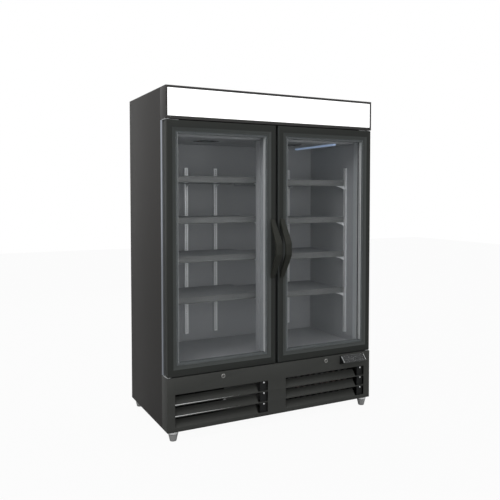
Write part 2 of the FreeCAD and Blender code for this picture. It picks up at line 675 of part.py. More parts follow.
# ---------------------------------------------------------------- locks
def locks():
    """Round key locks in the grille panel; each plug carries a cam that swings up into its door."""
    housings = []
    for side, sign in SIDES:
        x = sided(sign, "lock_centre")
        face_y = "fascia_front_y - lock_proud"
        barrel_length = "lock_depth + lock_proud - cam_sheet - running_fit"
        barrel = rod("lock_radius + running_fit + lock_wall", barrel_length, (x, face_y, "lock_z"), "y")
        flange = rod("lock_flange", "lock_proud", (x, face_y, "lock_z"), "y")
        bore = rod("lock_radius + running_fit", "lock_depth + lock_proud + 2",
                   (x, f"{face_y} - 1", "lock_z"), "y")
        housings.append(cut(joined([barrel, flange]), [bore]))
        plug = rod("lock_radius", "lock_depth + lock_proud", (x, face_y, "lock_z"), "y")
        cam_corner = (f"{x} - cam_width / 2", "cam_y", "lock_z - cam_width / 2")
        cam = box(("cam_length + cam_width / 2", "cam_sheet", "cam_width"), cam_corner)
        keyway = box(("lock_radius", "lock_key_depth + 1", "lock_key_slot"),
                     (f"{x} - lock_radius / 2", f"{face_y} - 1", "lock_z - lock_key_slot / 2"))
        node(cut(joined([plug, cam]), [keyway]), f"lock_plug_{side}")
    node(together(housings), "lock_housings")


# ---------------------------------------------------------------- controller
def slope_place(along, up, lift):
    """Place on the housing's sloped face: along X, up the slope, and out from the face."""
    x = f"control_left + {along}"
    y = f"fascia_front_y - control_reach + ({up}) * sin(slope_angle) - ({lift}) * cos(slope_angle)"
    z = f"control_z + control_chin + ({up}) * cos(slope_angle) + ({lift}) * sin(slope_angle)"
    return (x, y, z)


def slope_box(size, along, up, lift):
    """Box lying on the sloped face: size is along X, up the slope, out from the face."""
    piece = doc.addObject("Part::Box", "SlopeBox")
    for prop, text in zip(("Length", "Width", "Height"), (size[0], size[2], size[1])):
        bind(piece, prop, text)
    outer = slope_place(along, up, f"({lift}) + ({size[2]})")
    return place(piece, outer, FreeCAD.Rotation(-X_AXIS, QUARTER / 2), "slope_angle")


def slope_rod(radius, length, along, up, lift):
    """Round bar standing on the sloped face, from lift outward."""
    piece = doc.addObject("Part::Cylinder", "SlopeRod")
    bind(piece, "Radius", radius)
    bind(piece, "Height", length)
    start = slope_place(along, up, lift)
    return place(piece, start, FreeCAD.Rotation(X_AXIS, QUARTER / 2), "90 deg - slope_angle")


def controller():
    """Wedge housing whose sloped face holds a display and three buttons under a clear flap."""
    wedge = body("ControllerHousing")
    profile = sketch_on(wedge, "YZ_Plane")
    outline(profile, [("0", "control_chin"), ("control_reach", "0"),
                      ("control_reach", "control_height"), ("slope_run", "control_height")])
    feature(wedge, "Pad", profile, "control_width")
    place(wedge, ("control_left", "fascia_front_y - control_reach", "control_z"))
    window = slope_box(("display_width", "display_height", "display_sheet"),
                       "display_margin", "display_low", "0 - display_sheet")
    recess = slope_box(("display_width", "display_height", "display_sheet + 1"),
                       "display_margin", "display_low", "0 - display_sheet")
    tools = [recess]
    for number in range(3):
        along = f"display_width + 2 * display_margin + button_radius + {number} * button_pitch"
        up = "display_low + display_height / 2"
        depth = "button_length - button_proud + button_travel + button_clearance"
        hole_radius = "button_radius + button_clearance"
        tools.append(slope_rod(hole_radius, f"{depth} + 1", along, up, f"0 - ({depth})"))
        button = slope_rod("button_radius", "button_length", along, up, "button_proud - button_length")
        node(button, f"controller_button_{number + 1}")
    axis_up = "slope_length - flap_bead"
    axis_lift = "flap_gap + flap_sheet / 2"
    cheeks = []
    for end in ("0", "control_width - flap_cheek"):
        cheek = ("flap_cheek", "slope_length", "flap_gap + flap_sheet")
        cheeks.append(slope_box(cheek, end, "0", "0"))
        pin_start = "0" if end == "0" else "control_width - flap_cheek - flap_pin_length"
        cheeks.append(rod("flap_pin", "flap_cheek + flap_pin_length",
                          slope_place(pin_start, axis_up, axis_lift), "x"))
    node(joined([cut(wedge, tools)] + cheeks), "controller_housing")
    node(window, "controller_display")
    inner = "flap_cheek + flap_play"
    length = f"control_width - 2 * ({inner})"
    sheet_piece = slope_box((length, axis_up, "flap_sheet"), inner, "0", "flap_gap")
    bead = rod("flap_bead", length, slope_place(inner, axis_up, axis_lift), "x")
    bore = rod("flap_pin + running_fit", "control_width", slope_place("0", axis_up, axis_lift), "x")
    node(cut(joined([sheet_piece, bead]), [bore]), "controller_flap")


# ---------------------------------------------------------------- doors
def hinge_plates():
    """Fixed plates above and below each door, each with its pin."""
    plates = []
    for plate_z, pin_z in (("header_z - hinge_plate", "header_z - hinge_gap - pin_depth"),
                           ("ledge_z", "ledge_z")):
        for side, sign in SIDES:
            x = sided(sign, "pivot_x")
            nose = rod("hinge_round", "hinge_plate", (x, "pivot_y", plate_z))
            edge = low_x(sign, "half_width - hinge_length", "half_width")
            tail = box(("hinge_length", "frame_front_y - pivot_y", "hinge_plate"),
                       (edge, "pivot_y", plate_z))
            pin = rod("pin_radius", "hinge_gap + pin_depth", (x, "pivot_y", pin_z))
            trim_x = low_x(sign, "half_width", "half_width + hinge_round")
            trim = box(("hinge_round", "4 * hinge_round", "hinge_plate + 2"),
                       (trim_x, "pivot_y - 2 * hinge_round", f"{plate_z} - 1"))
            plates.append(cut(joined([nose, tail, pin]), [trim]))
    node(together(plates), "hinge_plates")


def door_frame(side, sign):
    """Frame of stiles and rails, grooved for the glass and bored for its pins and lock cam."""
    door_x = low_x(sign, "door_edge - door_width", "door_edge")
    front_depth = "door_thickness - door_step_depth"
    front = box(("door_width", front_depth, "door_height"), (door_x, "door_front_y", "door_z"))
    rear = box(("door_width - 2 * door_step", "door_step_depth", "door_height - 2 * door_step"),
               (f"{door_x} + door_step", "door_back_y - door_step_depth", "door_z + door_step"))
    opening = box(("door_width - 2 * stile_width", "door_thickness + 2", "door_height - 2 * rail_width"),
                  (f"{door_x} + stile_width", "door_front_y - 1", "door_z + rail_width"))
    groove_size = ("door_width - 2 * (stile_width - glass_lap)", "glass_pack",
                   "door_height - 2 * (rail_width - glass_lap)")
    groove_corner = (f"{door_x} + stile_width - glass_lap", "glass_front_y",
                     "door_z + rail_width - glass_lap")
    groove = box(groove_size, groove_corner)
    x = sided(sign, "pivot_x")
    bore = "pin_radius + running_fit"
    low_bore = rod(bore, "pin_depth + 2", (x, "pivot_y", "door_z - 1"))
    high_bore = rod(bore, "pin_depth + 2", (x, "pivot_y", "door_z + door_height - pin_depth - 1"))
    lock_x = sided(sign, "lock_centre")
    catch = box(("cam_length + cam_width / 2 + 2 * cam_clearance", "cam_sheet + 2 * cam_clearance",
                 "lock_z + cam_length + cam_clearance - door_z + 1"),
                (f"{lock_x} - cam_width / 2 - cam_clearance", "cam_y - cam_clearance", "door_z - 1"))
    node(cut(joined([front, rear]), [opening, groove, low_bore, high_bore, catch]), f"door_frame_{side}")


def door_glass(side, sign):
    """Three panes held apart by two edge spacers."""
    door_x = low_x(sign, "door_edge - door_width", "door_edge")
    inset = "(stile_width - glass_lap + glass_clearance)"
    rise = "(rail_width - glass_lap + glass_clearance)"
    width = f"door_width - 2 * {inset}"
    height = f"door_height - 2 * {rise}"
    panes = []
    spacers = []
    for level in range(3):
        corner = (f"{door_x} + {inset}", f"glass_front_y + {level} * (pane + pane_gap)", f"door_z + {rise}")
        panes.append(box((width, "pane", height), corner))
    for level in range(2):
        corner = (f"{door_x} + {inset}", f"glass_front_y + pane + {level} * (pane + pane_gap)",
                  f"door_z + {rise}")
        spacers.append(ring_of((width, "pane_gap", height), corner, "spacer_width", "spacer_width"))
    node(together(panes), f"glass_panes_{side}")
    node(together(spacers), f"glass_spacers_{side}")


def gasket(side, sign):
    door_x = low_x(sign, "door_edge - door_width", "door_edge")
    size = ("door_width - 2 * gasket_inset", "door_standoff - gasket_gap", "door_height - 2 * gasket_inset")
    corner = (f"{door_x} + gasket_inset", "door_back_y", "door_z + gasket_inset")
    node(ring_of(size, corner, "gasket_width", "gasket_width"), f"gasket_{side}")


def handle(side, sign):
    """Bowed grip: two straight arms rise from the door to a blunt peak; narrower at its ends."""
    grip = body("Handle")
    side_view = sketch_on(grip, "YZ_Plane")
    middle = "handle_height / 2"
    peak = "handle_peak / 2"
    outline(side_view, [
        ("handle_reach", "0"), ("handle_reach - handle_bar / 2", "0"),
        ("0", f"{middle} - {peak}"), ("0", f"{middle} + {peak}"),
        ("handle_reach - handle_bar / 2", "handle_height"), ("handle_reach", "handle_height"),
        ("handle_reach", "handle_height - handle_foot"),
        ("handle_bar", f"{middle} + {peak} * 0.7"), ("handle_bar", f"{middle} - {peak} * 0.7"),
        ("handle_reach", "handle_foot")])
    feature(grip, "Pad", side_view, "handle_width")
    for near in (True, False):
        taper = sketch_on(grip, "XZ_Plane")
        waist = "(handle_width - handle_end_width) / 2"
        if near:
            edge, outside, waist_x = "0", "0 - 1", waist
        else:
            edge, outside, waist_x = "handle_width", "handle_width + 1", f"handle_width - {waist}"
        for beyond, end, wide in (("0 - 1", "0", f"{middle} - {peak}"),
                                  ("handle_height + 1", "handle_height", f"{middle} + {peak}")):
            outline(taper, [(outside, beyond), (waist_x, beyond), (waist_x, end), (edge, wide),
                            (outside, wide)])
        feature(grip, "Pocket", taper, "handle_reach + 2", False)
    handle_x = low_x(sign, "handle_inset", "handle_inset + handle_width")
    place(grip, (handle_x, "door_front_y - handle_reach", "base_z + handle_middle - handle_height / 2"))
    node(grip, f"handle_{side}")


# ---------------------------------------------------------------- shelves
def shelf_tops():
    """Strip-top height expression and label of each right-bay shelf, lowest first."""
    steps = ("0", "wide_step", "narrow_step", "wide_step")
    total = "floor_z + lowest_shelf"
    tops = []
    for number, step in zip((4, 3, 2, 1), steps):
        total = f"{total} + {step}"
        tops.append((number, total))
    return tops


def bay_lift(sign):
    return " + notch" if sign < 0 else ""


def shelf(name, x, top):
    """Grid of bars in a frame with turned-down front and rear rails."""
    deck = body("Shelf")
    plate = sketch_on(deck, "XY_Plane")
    rectangle(plate, "0", "0", "shelf_width", "deck_depth")
    feature(deck, "Pad", plate, "shelf_deck")
    rails = sketch_on(deck, "XY_Plane")
    rectangle(rails, "0", "0", "shelf_width", "shelf_rail")
    rectangle(rails, "0", "deck_depth - shelf_rail", "shelf_width", "shelf_rail")
    feature(deck, "Pad", rails, "shelf_rail_height - shelf_deck", True)
    row = sketch_on(deck, "XY_Plane")
    field = "((shelf_width - 5 * shelf_cross_bar) / 4)"
    for number in range(4):
        left = f"shelf_cross_bar + {number} * ({field} + shelf_cross_bar)"
        rectangle(row, left, "shelf_rail + shelf_bar", field, "shelf_bar_gap")
    rows = feature(deck, "Pocket", row, "shelf_deck", True)
    repeat(deck, rows, "Y_Axis", "shelf_bar + shelf_bar_gap", "shelf_bar_count")
    place(deck, (x, "deck_front_y", f"{top} - strip_rise - shelf_deck"))
    node(deck, name)


def shelves():
    strips = []
    for side, sign in SIDES:
        x = low_x(sign, "shelf_centre_gap", "shelf_end")
        for number, top in shelf_tops():
            height = top + bay_lift(sign)
            shelf(f"shelf_{side}_{number}", x, height)
            strips.append(box(("shelf_width", "strip_depth", "strip_height"),
                              (x, "shelf_front_y", f"{height} - strip_height")))
    node(together(strips), "price_strips")


REAR_STANDARDS = (
    (-1, "standard_far"),
    (-1, "standard_middle"),
    (-1, "standard_near"),
    (1, "standard_right_near"),
    (1, "standard_right_far"),
)


def bracket(root, heading):
    """Tapered sheet bracket that reaches out of its standard; heading turns it from +Y."""
    piece = doc.addObject("Part::Wedge", "Bracket")
    for prop, text in (("Xmin", "0 - bracket_sheet / 2"), ("Xmax", "bracket_sheet / 2"),
                       ("X2min", "0 - bracket_sheet / 2"), ("X2max", "bracket_sheet / 2"),
                       ("Ymin", "0"), ("Ymax", "bracket_reach"),
                       ("Zmin", "0 - bracket_height"), ("Z2min", "0 - bracket_tip"),
                       ("Zmax", "0"), ("Z2max", "0")):
        bind(piece, prop, text)
    return place(piece, root, FreeCAD.Rotation(Z_AXIS, heading))


def standards():
    """Slotted uprights on the back wall, the side walls and the rear of the centre post."""
    uprights = []
    brackets = []
    for sign, centre in REAR_STANDARDS:
        x = sided(sign, centre)
        uprights.append(box(("standard_width", "standard_depth", "standard_length"),
                            (f"{x} - standard_width / 2", "liner_back_y - standard_depth", "standard_z")))
        for number, top in shelf_tops():
            under = f"{top}{bay_lift(sign)} - strip_rise - shelf_rail_height"
            brackets.append(bracket((x, "liner_back_y - standard_depth", under), 2 * QUARTER))
    for side, sign in SIDES:
        wall_x = low_x(sign, "liner_half - standard_depth", "liner_half")
        side_standard = ("standard_depth", "standard_width", "standard_length")
        uprights.append(box(side_standard, (wall_x, "side_standard_y", "standard_z")))
        post_x = sided(sign, "mullion_width / 4")
        uprights.append(box(("standard_width", "standard_depth", "standard_length"),
                            (f"{post_x} - standard_width / 2", "mullion_back_y", "standard_z")))
        for number, top in shelf_tops():
            under = f"{top}{bay_lift(sign)} - strip_rise - shelf_rail_height"
            inner = sided(sign, "liner_half - standard_depth")
            brackets.append(bracket((inner, "deck_front_y + shelf_rail / 2", under), sign * QUARTER))
            brackets.append(bracket((post_x, "mullion_back_y + standard_depth", under), 0))
    node(together(uprights), "shelf_standards")
    node(together(brackets), "shelf_brackets")


# ---------------------------------------------------------------- cold side machinery
def fan_blades(radius, centre, along, name):
    """Hub with a ring of flat pitched blades, turning about +Z or +Y."""
    wheel = body("FanBlades")
    hub = sketch_on(wheel, "XY_Plane")
    circle(hub, "0", "0", "hub_radius")
    feature(wheel, "Pad", hub, "hub_length")
    section = sketch_on(wheel, "YZ_Plane")
    half = "blade_chord / 2"
    outline(section, [(f"0 - {half}", "3"), (half, "hub_length - 3 - blade_sheet"),
                      (half, "hub_length - 3"), (f"0 - {half}", "3 + blade_sheet")])
    vane = feature(wheel, "Pad", section, radius)
    fan = wheel.newObject("PartDesign::PolarPattern", "Vanes")
    fan.Originals = [vane]
    fan.Axis = (next(item for item in wheel.Origin.OriginFeatures if item.Role == "Z_Axis"), [""])
    fan.Angle = 360
    bind(fan, "Occurrences", "blade_count")
    wheel.Tip = fan
    bore = sketch_on(wheel, "XY_Plane")
    circle(bore, "0", "0", "shaft_radius + running_fit")
    feature(wheel, "Pocket", bore, "hub_length", True)
    node(place(wheel, centre, TURNS[along]), name)


def evaporator():
    """Cover tray under the ceiling with two round fan openings, the coil and the fans inside."""
    corner = ("canopy_clearance - liner_half", "canopy_front_y", "canopy_z")
    size = ("2 * (liner_half - canopy_clearance)", "canopy_rear_y - canopy_front_y",
            "canopy_drop")
    tray = shell(size, corner, "canopy_sheet", ["+z"])
    holes = []
    guards = []
    for side, sign in SIDES:
        x = sided(sign, "fan_x")
        y = "back_y - evaporator_fan_setback"
        holes.append(rod("evaporator_fan", "canopy_sheet + 2", (x, y, "canopy_z - 1")))
        guard_z = "canopy_z + canopy_sheet"
        rim = cut(rod("evaporator_fan + guard_rim", "guard_rim", (x, y, guard_z)),
                  [rod("evaporator_fan", "guard_rim + 2", (x, y, f"{guard_z} - 1"))])
        bars = []
        for turn in range(2):
            along_x = ("2 * evaporator_fan + guard_rim", "guard_rim", "guard_rim")
            along_y = ("guard_rim", "2 * evaporator_fan + guard_rim", "guard_rim")
            start_x = (f"{x} - evaporator_fan - guard_rim / 2", f"{y} - guard_rim / 2", guard_z)
            start_y = (f"{x} - guard_rim / 2", f"{y} - evaporator_fan - guard_rim / 2", guard_z)
            bars.append(box(along_x if turn == 0 else along_y, start_x if turn == 0 else start_y))
        motor = rod("motor_radius", "motor_length", (x, y, guard_z))
        shaft = rod("shaft_radius", "motor_length + running_gap + hub_length", (x, y, guard_z))
        guards.append(joined([rim, motor, shaft] + bars))
        fan_blades(f"evaporator_fan - blade_clearance",
                   (x, y, f"{guard_z} + motor_length + running_gap"), "z", f"evaporator_blades_{side}")
    node(cut(tray, holes), "evaporator_cover")
    node(together(guards), "evaporator_fans")
    coil_corner = ("coil_end_gap - liner_half", "back_y - coil_setback", "canopy_z + canopy_sheet")
    coil_size = ("2 * (liner_half - coil_end_gap)", "coil_depth", "coil_height")
    node(box(coil_size, coil_corner), "evaporator_coil")


def ceiling_lamp():
    size = ("lamp_width", "canopy_rear_y - canopy_front_y - ceiling_lamp_front - ceiling_lamp_rear",
            "lamp_height")
    corner = ("liner_half - ceiling_lamp_gap - lamp_width / 2", "canopy_front_y + ceiling_lamp_front",
              "canopy_z - lamp_height")
    node(box(size, corner), "ceiling_lamp")


# ---------------------------------------------------------------- machine space
def condensing_unit():
    """Finned condenser behind the grille, its fan, and the compressor."""
    coil = body("Condenser")
    block = sketch_on(coil, "XY_Plane")
    rectangle(block, "0", "0", "condenser_width", "condenser_depth")
    feature(coil, "Pad", block, "condenser_height")
    gap = sketch_on(coil, "XY_Plane", "condenser_fin")
    rectangle(gap, "condenser_fin", "condenser_fin", "condenser_fin_gap", "condenser_depth")
    gaps = feature(coil, "Pocket", gap, "condenser_height - 2 * condenser_fin", True)
    repeat(coil, gaps, "X_Axis", "condenser_fin_gap + condenser_fin", "condenser_fin_count")
    place(coil, ("condenser_left", "condenser_y", "pan_top_z"))
    node(coil, "condenser_coil")

    x = "condenser_left + condenser_width / 2"
    z = "pan_top_z + condenser_height / 2"
    plate_y = "condenser_y + condenser_depth"
    plate = shell(("condenser_width", "shroud_depth", "condenser_height"),
                  ("condenser_left", plate_y, "pan_top_z"), "shroud_sheet", ["-y"])
    hole_y = f"{plate_y} + shroud_depth - shroud_sheet - 1"
    hole = rod("condenser_fan", "shroud_sheet + 2", (x, hole_y, z), "y")
    bar_y = f"{plate_y} + shroud_depth"
    strut = box(("2 * condenser_fan + 4 * shroud_sheet", "shroud_sheet", "4 * shroud_sheet"),
                (f"{x} - condenser_fan - 2 * shroud_sheet", bar_y, f"{z} - 2 * shroud_sheet"))
    motor = rod("motor_radius", "motor_length", (x, bar_y, z), "y")
    shaft = rod("shaft_radius", "running_gap + hub_length + motor_length",
                (x, f"{bar_y} - running_gap - hub_length", z), "y")
    node(joined([cut(plate, [hole]), strut, motor, shaft]), "condenser_fan_shroud")
    fan_blades("condenser_fan - blade_clearance", (x, f"{bar_y} - hub_length - running_gap", z), "y",
               "condenser_blades")

    can = body("Compressor")
    profile = sketch_on(can, "XZ_Plane")
    outline(profile, [("0", "0"), ("compressor_radius", "0"),
                      ("compressor_radius", "compressor_height * 0.72"),
                      ("compressor_radius * 0.8", "compressor_height * 0.93"),
                      ("compressor_radius * 0.45", "compressor_height"), ("0", "compressor_height")])
    turned = can.newObject("PartDesign::Revolution", "Revolution")
    turned.Profile = profile
    turned.ReferenceAxis = (profile, ["V_Axis"])
    turned.Angle = 360
    foot = sketch_on(can, "XY_Plane")
    half = "compressor_radius + compressor_base"
    rectangle(foot, f"0 - ({half})", f"0 - ({half})", f"2 * ({half})", f"2 * ({half})")
    feature(can, "Pad", foot, "compressor_base", True)
    seat = ("compressor_gap - half_width", "back_y - compressor_setback", "pan_top_z + compressor_base")
    node(place(can, seat), "compressor")


def power_inlet():
    """Recessed inlet in the rear panel, flush with its outer face."""
    corner = ("inlet_x - inlet_width / 2", "back_y - inlet_depth", "base_z + inlet_rise - inlet_height / 2")
    size = ("inlet_width", "inlet_depth", "inlet_height")
    mouth = box(("inlet_width - 2 * inlet_wall", "inlet_socket + 1", "inlet_height - 2 * inlet_wall"),
                (f"{corner[0]} + inlet_wall", "back_y - inlet_socket", f"{corner[2]} + inlet_wall"))
    node(cut(box(size, corner), [mouth]), "power_inlet")


def feet():
    """Levelling feet: sole, flare and collar turned in one piece with the stud."""
    for side, sign in SIDES:
        for end, foot_y in FOOT_ROWS.items():
            foot = body("Foot")
            profile = sketch_on(foot, "XZ_Plane")
            top = "foot_height - foot_seat_gap"
            stud_top = "foot_height + stud_length"
            outline(profile, [("0", "0"), ("foot_sole", "0"), ("foot_flare", f"{top} - foot_collar"),
                              ("foot_flare", top), ("stud_radius", top),
                              ("stud_radius", stud_top), ("0", stud_top)])
            turned = foot.newObject("PartDesign::Revolution", "Revolution")
            turned.Profile = profile
            turned.ReferenceAxis = (profile, ["V_Axis"])
            turned.Angle = 360
            centre = (sided(sign, "half_width - foot_inset"), foot_y, "0")
            node(place(foot, centre), f"foot_{end}_{side}")


# ---------------------------------------------------------------- assembly
def build():
    side_panels()
    top_panel()
    rear_panel()
    base_pan()
    insulation()
    inner_liner()
    face_frame()
    mullion()
    header()
    grille_panel()
    grille_screws()
    locks()
    controller()
    hinge_plates()
    for side, sign in SIDES:
        door_frame(side, sign)
        door_glass(side, sign)
        gasket(side, sign)
        handle(side, sign)
    shelves()
    standards()
    evaporator()
    ceiling_lamp()
    condensing_unit()
    power_inlet()
    feet()


def check():
    """Stop on any failed object, empty or invalid shape, or pocket that removed nothing."""
    for item in doc.Objects:
        if "Invalid" in item.State or "Error" in item.State:
            raise RuntimeError(f"{item.Name} ({item.Label}) failed: {item.State}")
        if item.TypeId == "PartDesign::Pocket":
            if item.Shape.Volume >= item.BaseFeature.Shape.Volume - 1e-6:
                raise RuntimeError(f"{item.Name} removes nothing")
    for piece in PARTS:
        if piece.Shape.isNull() or not piece.Shape.isValid():
            raise RuntimeError(f"{piece.Label} has no valid shape")


def write():
    os.makedirs("parts", exist_ok=True)
    for piece in PARTS:
        piece.Shape.exportStep(os.path.join("parts", piece.Label + ".step"))


build()
doc.recompute()
check()
write()
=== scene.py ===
"""Looks of a two-door ice merchandiser freezer, laid out as an add-on and run as a script.

Metres, +Z up, the doors face -Y.  The frame holds every size and place; a piece built here takes
its corners from the frame and rides on the frame's body.
"""
import json
import math

import bmesh
import bpy
from bpy.props import FloatProperty, FloatVectorProperty, IntProperty, PointerProperty
from mathutils import Matrix, Vector


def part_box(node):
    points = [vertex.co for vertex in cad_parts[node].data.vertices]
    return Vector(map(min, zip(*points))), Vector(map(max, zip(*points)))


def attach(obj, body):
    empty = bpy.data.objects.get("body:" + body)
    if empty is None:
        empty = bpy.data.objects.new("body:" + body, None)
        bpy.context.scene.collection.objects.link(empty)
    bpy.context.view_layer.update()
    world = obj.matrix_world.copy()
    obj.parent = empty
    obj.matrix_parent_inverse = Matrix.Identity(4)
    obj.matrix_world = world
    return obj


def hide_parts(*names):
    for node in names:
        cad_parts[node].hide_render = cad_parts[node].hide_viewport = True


bl_info = {
    "name": "Ice merchandiser freezer",
    "version": (1, 0, 0),
    "blender": (4, 5, 0),
    "location": "3D View > Sidebar > Freezer",
    "description": "Finishes and fine shapes of a two-door glass-front freezer",
    "category": "Object",
}

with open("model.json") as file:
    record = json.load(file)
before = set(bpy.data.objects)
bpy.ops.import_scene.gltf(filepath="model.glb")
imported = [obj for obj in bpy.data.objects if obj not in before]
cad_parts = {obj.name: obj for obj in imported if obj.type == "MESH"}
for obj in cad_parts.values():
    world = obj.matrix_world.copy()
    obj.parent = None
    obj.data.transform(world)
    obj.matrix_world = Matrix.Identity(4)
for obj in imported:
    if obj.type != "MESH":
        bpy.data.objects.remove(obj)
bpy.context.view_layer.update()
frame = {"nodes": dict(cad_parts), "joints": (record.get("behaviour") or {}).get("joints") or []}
MM = 0.001
SHEET_AREA = 0.004  # A face larger than this is flat sheet and is shaded flat, in square metres.
SIDES = {"left": -1, "right": 1}
SHELVES = (1, 2, 3, 4)
# Uprights that carry the shelves: along the rear wall, beside the centre post, on the side walls.
REAR_UPRIGHTS = {"left": (-540 * MM, -332 * MM, -124 * MM), "right": (200 * MM, 440 * MM)}
POST_UPRIGHT = 27.5 * MM
SIDE_UPRIGHT_Y = -104 * MM
SIDE_BRACKET_Y = -101.5 * MM
SLOT_PITCH = 12.7 * MM  # Half an inch, as shelf uprights are slotted.
PLUG_RADIUS = 8 * MM
THREAD_PITCH = 1.75 * MM  # Coarse thread of a 12 mm stud.
# The photograph's camera: place in metres, turns in degrees, lens and sensor in millimetres, shift.
CAMERA_PLACE = (-1.77858, -3.51124, 1.36452)
CAMERA_TURNS = ((-27.63125, "Z"), (90 - 2.40188, "X"), (0.02426, "Z"))
LENS, SENSOR, LENS_SHIFT = 44.6248, 36, (-0.02414, -0.05825)
# Soft boxes: place, what they face, width in metres, power in watts.
LAMPS = {
    "key_light": ((-2.7, -1.3, 3.5), (-0.5, 0, 1.6), 2.0, 52),
    "fill_light": ((-0.4, -4.9, 1.1), (0, 0, 0.8), 3.0, 48),
    "top_light": ((0, 0.6, 4.2), (0, 0, 0), 3.0, 25),
    "back_light": ((0.5, 4.6, 2.6), (0, 0, 1.0), 2.6, 30),
}
AXES = {joint["name"]: Vector(joint["pos_m"]) for joint in frame["joints"] if "pos_m" in joint}
X_AXIS = Vector((1, 0, 0))
Y_AXIS = Vector((0, 1, 0))
Z_AXIS = Vector((0, 0, 1))


# --- colour and shader helpers
def linear(code):
    """Linear colour of an sRGB hex code."""
    channels = []
    for start in (1, 3, 5):
        value = int(code[start:start + 2], 16) / 255
        channels.append(value / 12.92 if value <= 0.04045 else ((value + 0.055) / 1.055) ** 2.4)
    return tuple(channels)


def add_node(tree, kind, settings=None, links=None):
    """Adds a shader node, sets its values by socket or property, and links its inputs."""
    node = tree.nodes.new(kind)
    for name, value in (settings or {}).items():
        if isinstance(name, int) or name in node.inputs:
            node.inputs[name].default_value = value
        else:
            setattr(node, name, value)
    for name, source in (links or {}).items():
        tree.links.new(source, node.inputs[name])
    return node


def start_material(name, colour, roughness, **sockets):
    """New material whose shader has the given colour and roughness; returns it with its parts."""
    made = bpy.data.materials.new(name)
    made.use_nodes = True
    tree = made.node_tree
    shader = tree.nodes["Principled BSDF"]
    shader.inputs["Base Color"].default_value = (*colour, 1)
    shader.inputs["Roughness"].default_value = roughness
    for socket, value in sockets.items():
        shader.inputs[socket.replace("_", " ")].default_value = value
    made.diffuse_color = (*colour, 1)
    return made, tree, shader


def place_on(tree, stretch=(1, 1, 1)):
    """The surface's place in the object, in metres, scaled along each axis."""
    place = add_node(tree, "ShaderNodeTexCoord").outputs["Object"]
    return add_node(tree, "ShaderNodeMapping", {"Scale": stretch}, {"Vector": place}).outputs["Vector"]


def mottle(tree, shader, colour, size, amount):
    """Lets the colour drift a little either side of its own over patches of a real size."""
    patches = add_node(tree, "ShaderNodeTexNoise", {"Scale": 1 / size, "Detail": 3.0},
                       {"Vector": place_on(tree)})
    light = tuple(min(1.0, channel * (1 + amount)) for channel in colour)
    dark = tuple(channel * (1 - amount) for channel in colour)
    mixed = add_node(tree, "ShaderNodeMix", {"data_type": "RGBA"}, {"Factor": patches.outputs["Fac"]})
    mixed.inputs[6].default_value = (*dark, 1)
    mixed.inputs[7].default_value = (*light, 1)
    tree.links.new(mixed.outputs[2], shader.inputs["Base Color"])
    return patches.outputs["Fac"]


def relief(tree, shader, height, depth, strength):
    """Bumps the surface by a height pattern, depth in metres."""
    bump = add_node(tree, "ShaderNodeBump", {"Strength": strength, "Distance": depth}, {"Height": height})
    tree.links.new(bump.outputs["Normal"], shader.inputs["Normal"])


def vary_roughness(tree, shader, source, low, high):
    """Lets roughness run from low to high with a pattern."""
    span = add_node(tree, "ShaderNodeMapRange", {"To Min": low, "To Max": high}, {"Value": source})
    tree.links.new(span.outputs["Result"], shader.inputs["Roughness"])


def surface(name, colour, roughness, drift=None, patchy=None, grain=None, texture="Noise", output="Fac",
            extra=None, along=(1, 1, 1), brushed=None, bump=None, **sockets):
    """Material that drifts in tone over patches and carries a fine grain, each of a real size.

    drift is the patches' size and strength, patchy the roughness over them from low to high.
    grain is the size of a texture, brushed the roughness over it, bump its depth and strength.
    """
    made, tree, shader = start_material(name, colour, roughness, **sockets)
    if drift:
        patches = mottle(tree, shader, colour, *drift)
    if patchy:
        vary_roughness(tree, shader, patches, *patchy)
    if grain:
        fine = add_node(tree, f"ShaderNodeTex{texture}", {"Scale": 1 / grain, **(extra or {})},
                        {"Vector": place_on(tree, along)}).outputs[output]
    if brushed:
        vary_roughness(tree, shader, fine, *brushed)
    if bump:
        relief(tree, shader, fine, *bump)
    return made


# --- finishes
FINE = {"Detail": 2.0}


def powder_coated_steel(name, colour, gloss=0.55, shine=0.14):
    """Sheet steel with a baked powder coat: matt to satin, faint orange peel, slight drift in tone."""
    # Orange peel is about 1 mm across; it is drawn at 3 mm so that it shows.
    return surface(name, colour, gloss, (260 * MM, 0.05), (gloss - 0.05, gloss + 0.05), 3 * MM,
                   extra=FINE, bump=(0.1 * MM, 0.3), Specular_IOR_Level=shine)


def galvanised_steel(name, colour):
    """Hot-dip zinc on sheet steel: dull grey metal with crystal patches about 12 mm across."""
    made, tree, shader = start_material(name, colour, 0.5, Metallic=0.85)
    crystals = add_node(tree, "ShaderNodeTexVoronoi", {"Scale": 1 / (12 * MM)},
                        {"Vector": place_on(tree)})
    tone = add_node(tree, "ShaderNodeMapRange", {"To Min": 0.72, "To Max": 1.0},
                    {"Value": crystals.outputs["Color"]})
    tinted = add_node(tree, "ShaderNodeMix", {"data_type": "RGBA", "blend_type": "MULTIPLY", 0: 1.0,
                                              6: (*colour, 1)}, {7: tone.outputs["Result"]})
    tree.links.new(tinted.outputs[2], shader.inputs["Base Color"])
    vary_roughness(tree, shader, crystals.outputs["Distance"], 0.38, 0.6)
    return made


def zinc_plated_steel(name, colour, along=(1, 1, 0.05)):
    """Bright zinc on rolled steel: pale metal, fine rolling marks along its length."""
    return surface(name, colour, 0.36, (40 * MM, 0.07), grain=1.5 * MM, extra=FINE, along=along,
                   brushed=(0.28, 0.48), bump=(0.05 * MM, 0.3), Metallic=0.9)


def stucco_liner(name, colour):
    """Embossed, painted aluminium sheet: very shallow pebbles about 6 mm across, satin paint."""
    return surface(name, colour, 0.6, (300 * MM, 0.04), grain=6 * MM, texture="Voronoi",
                   output="Distance", extra={"feature": "SMOOTH_F1"}, bump=(0.05 * MM, 0.12),
                   Specular_IOR_Level=0.2)


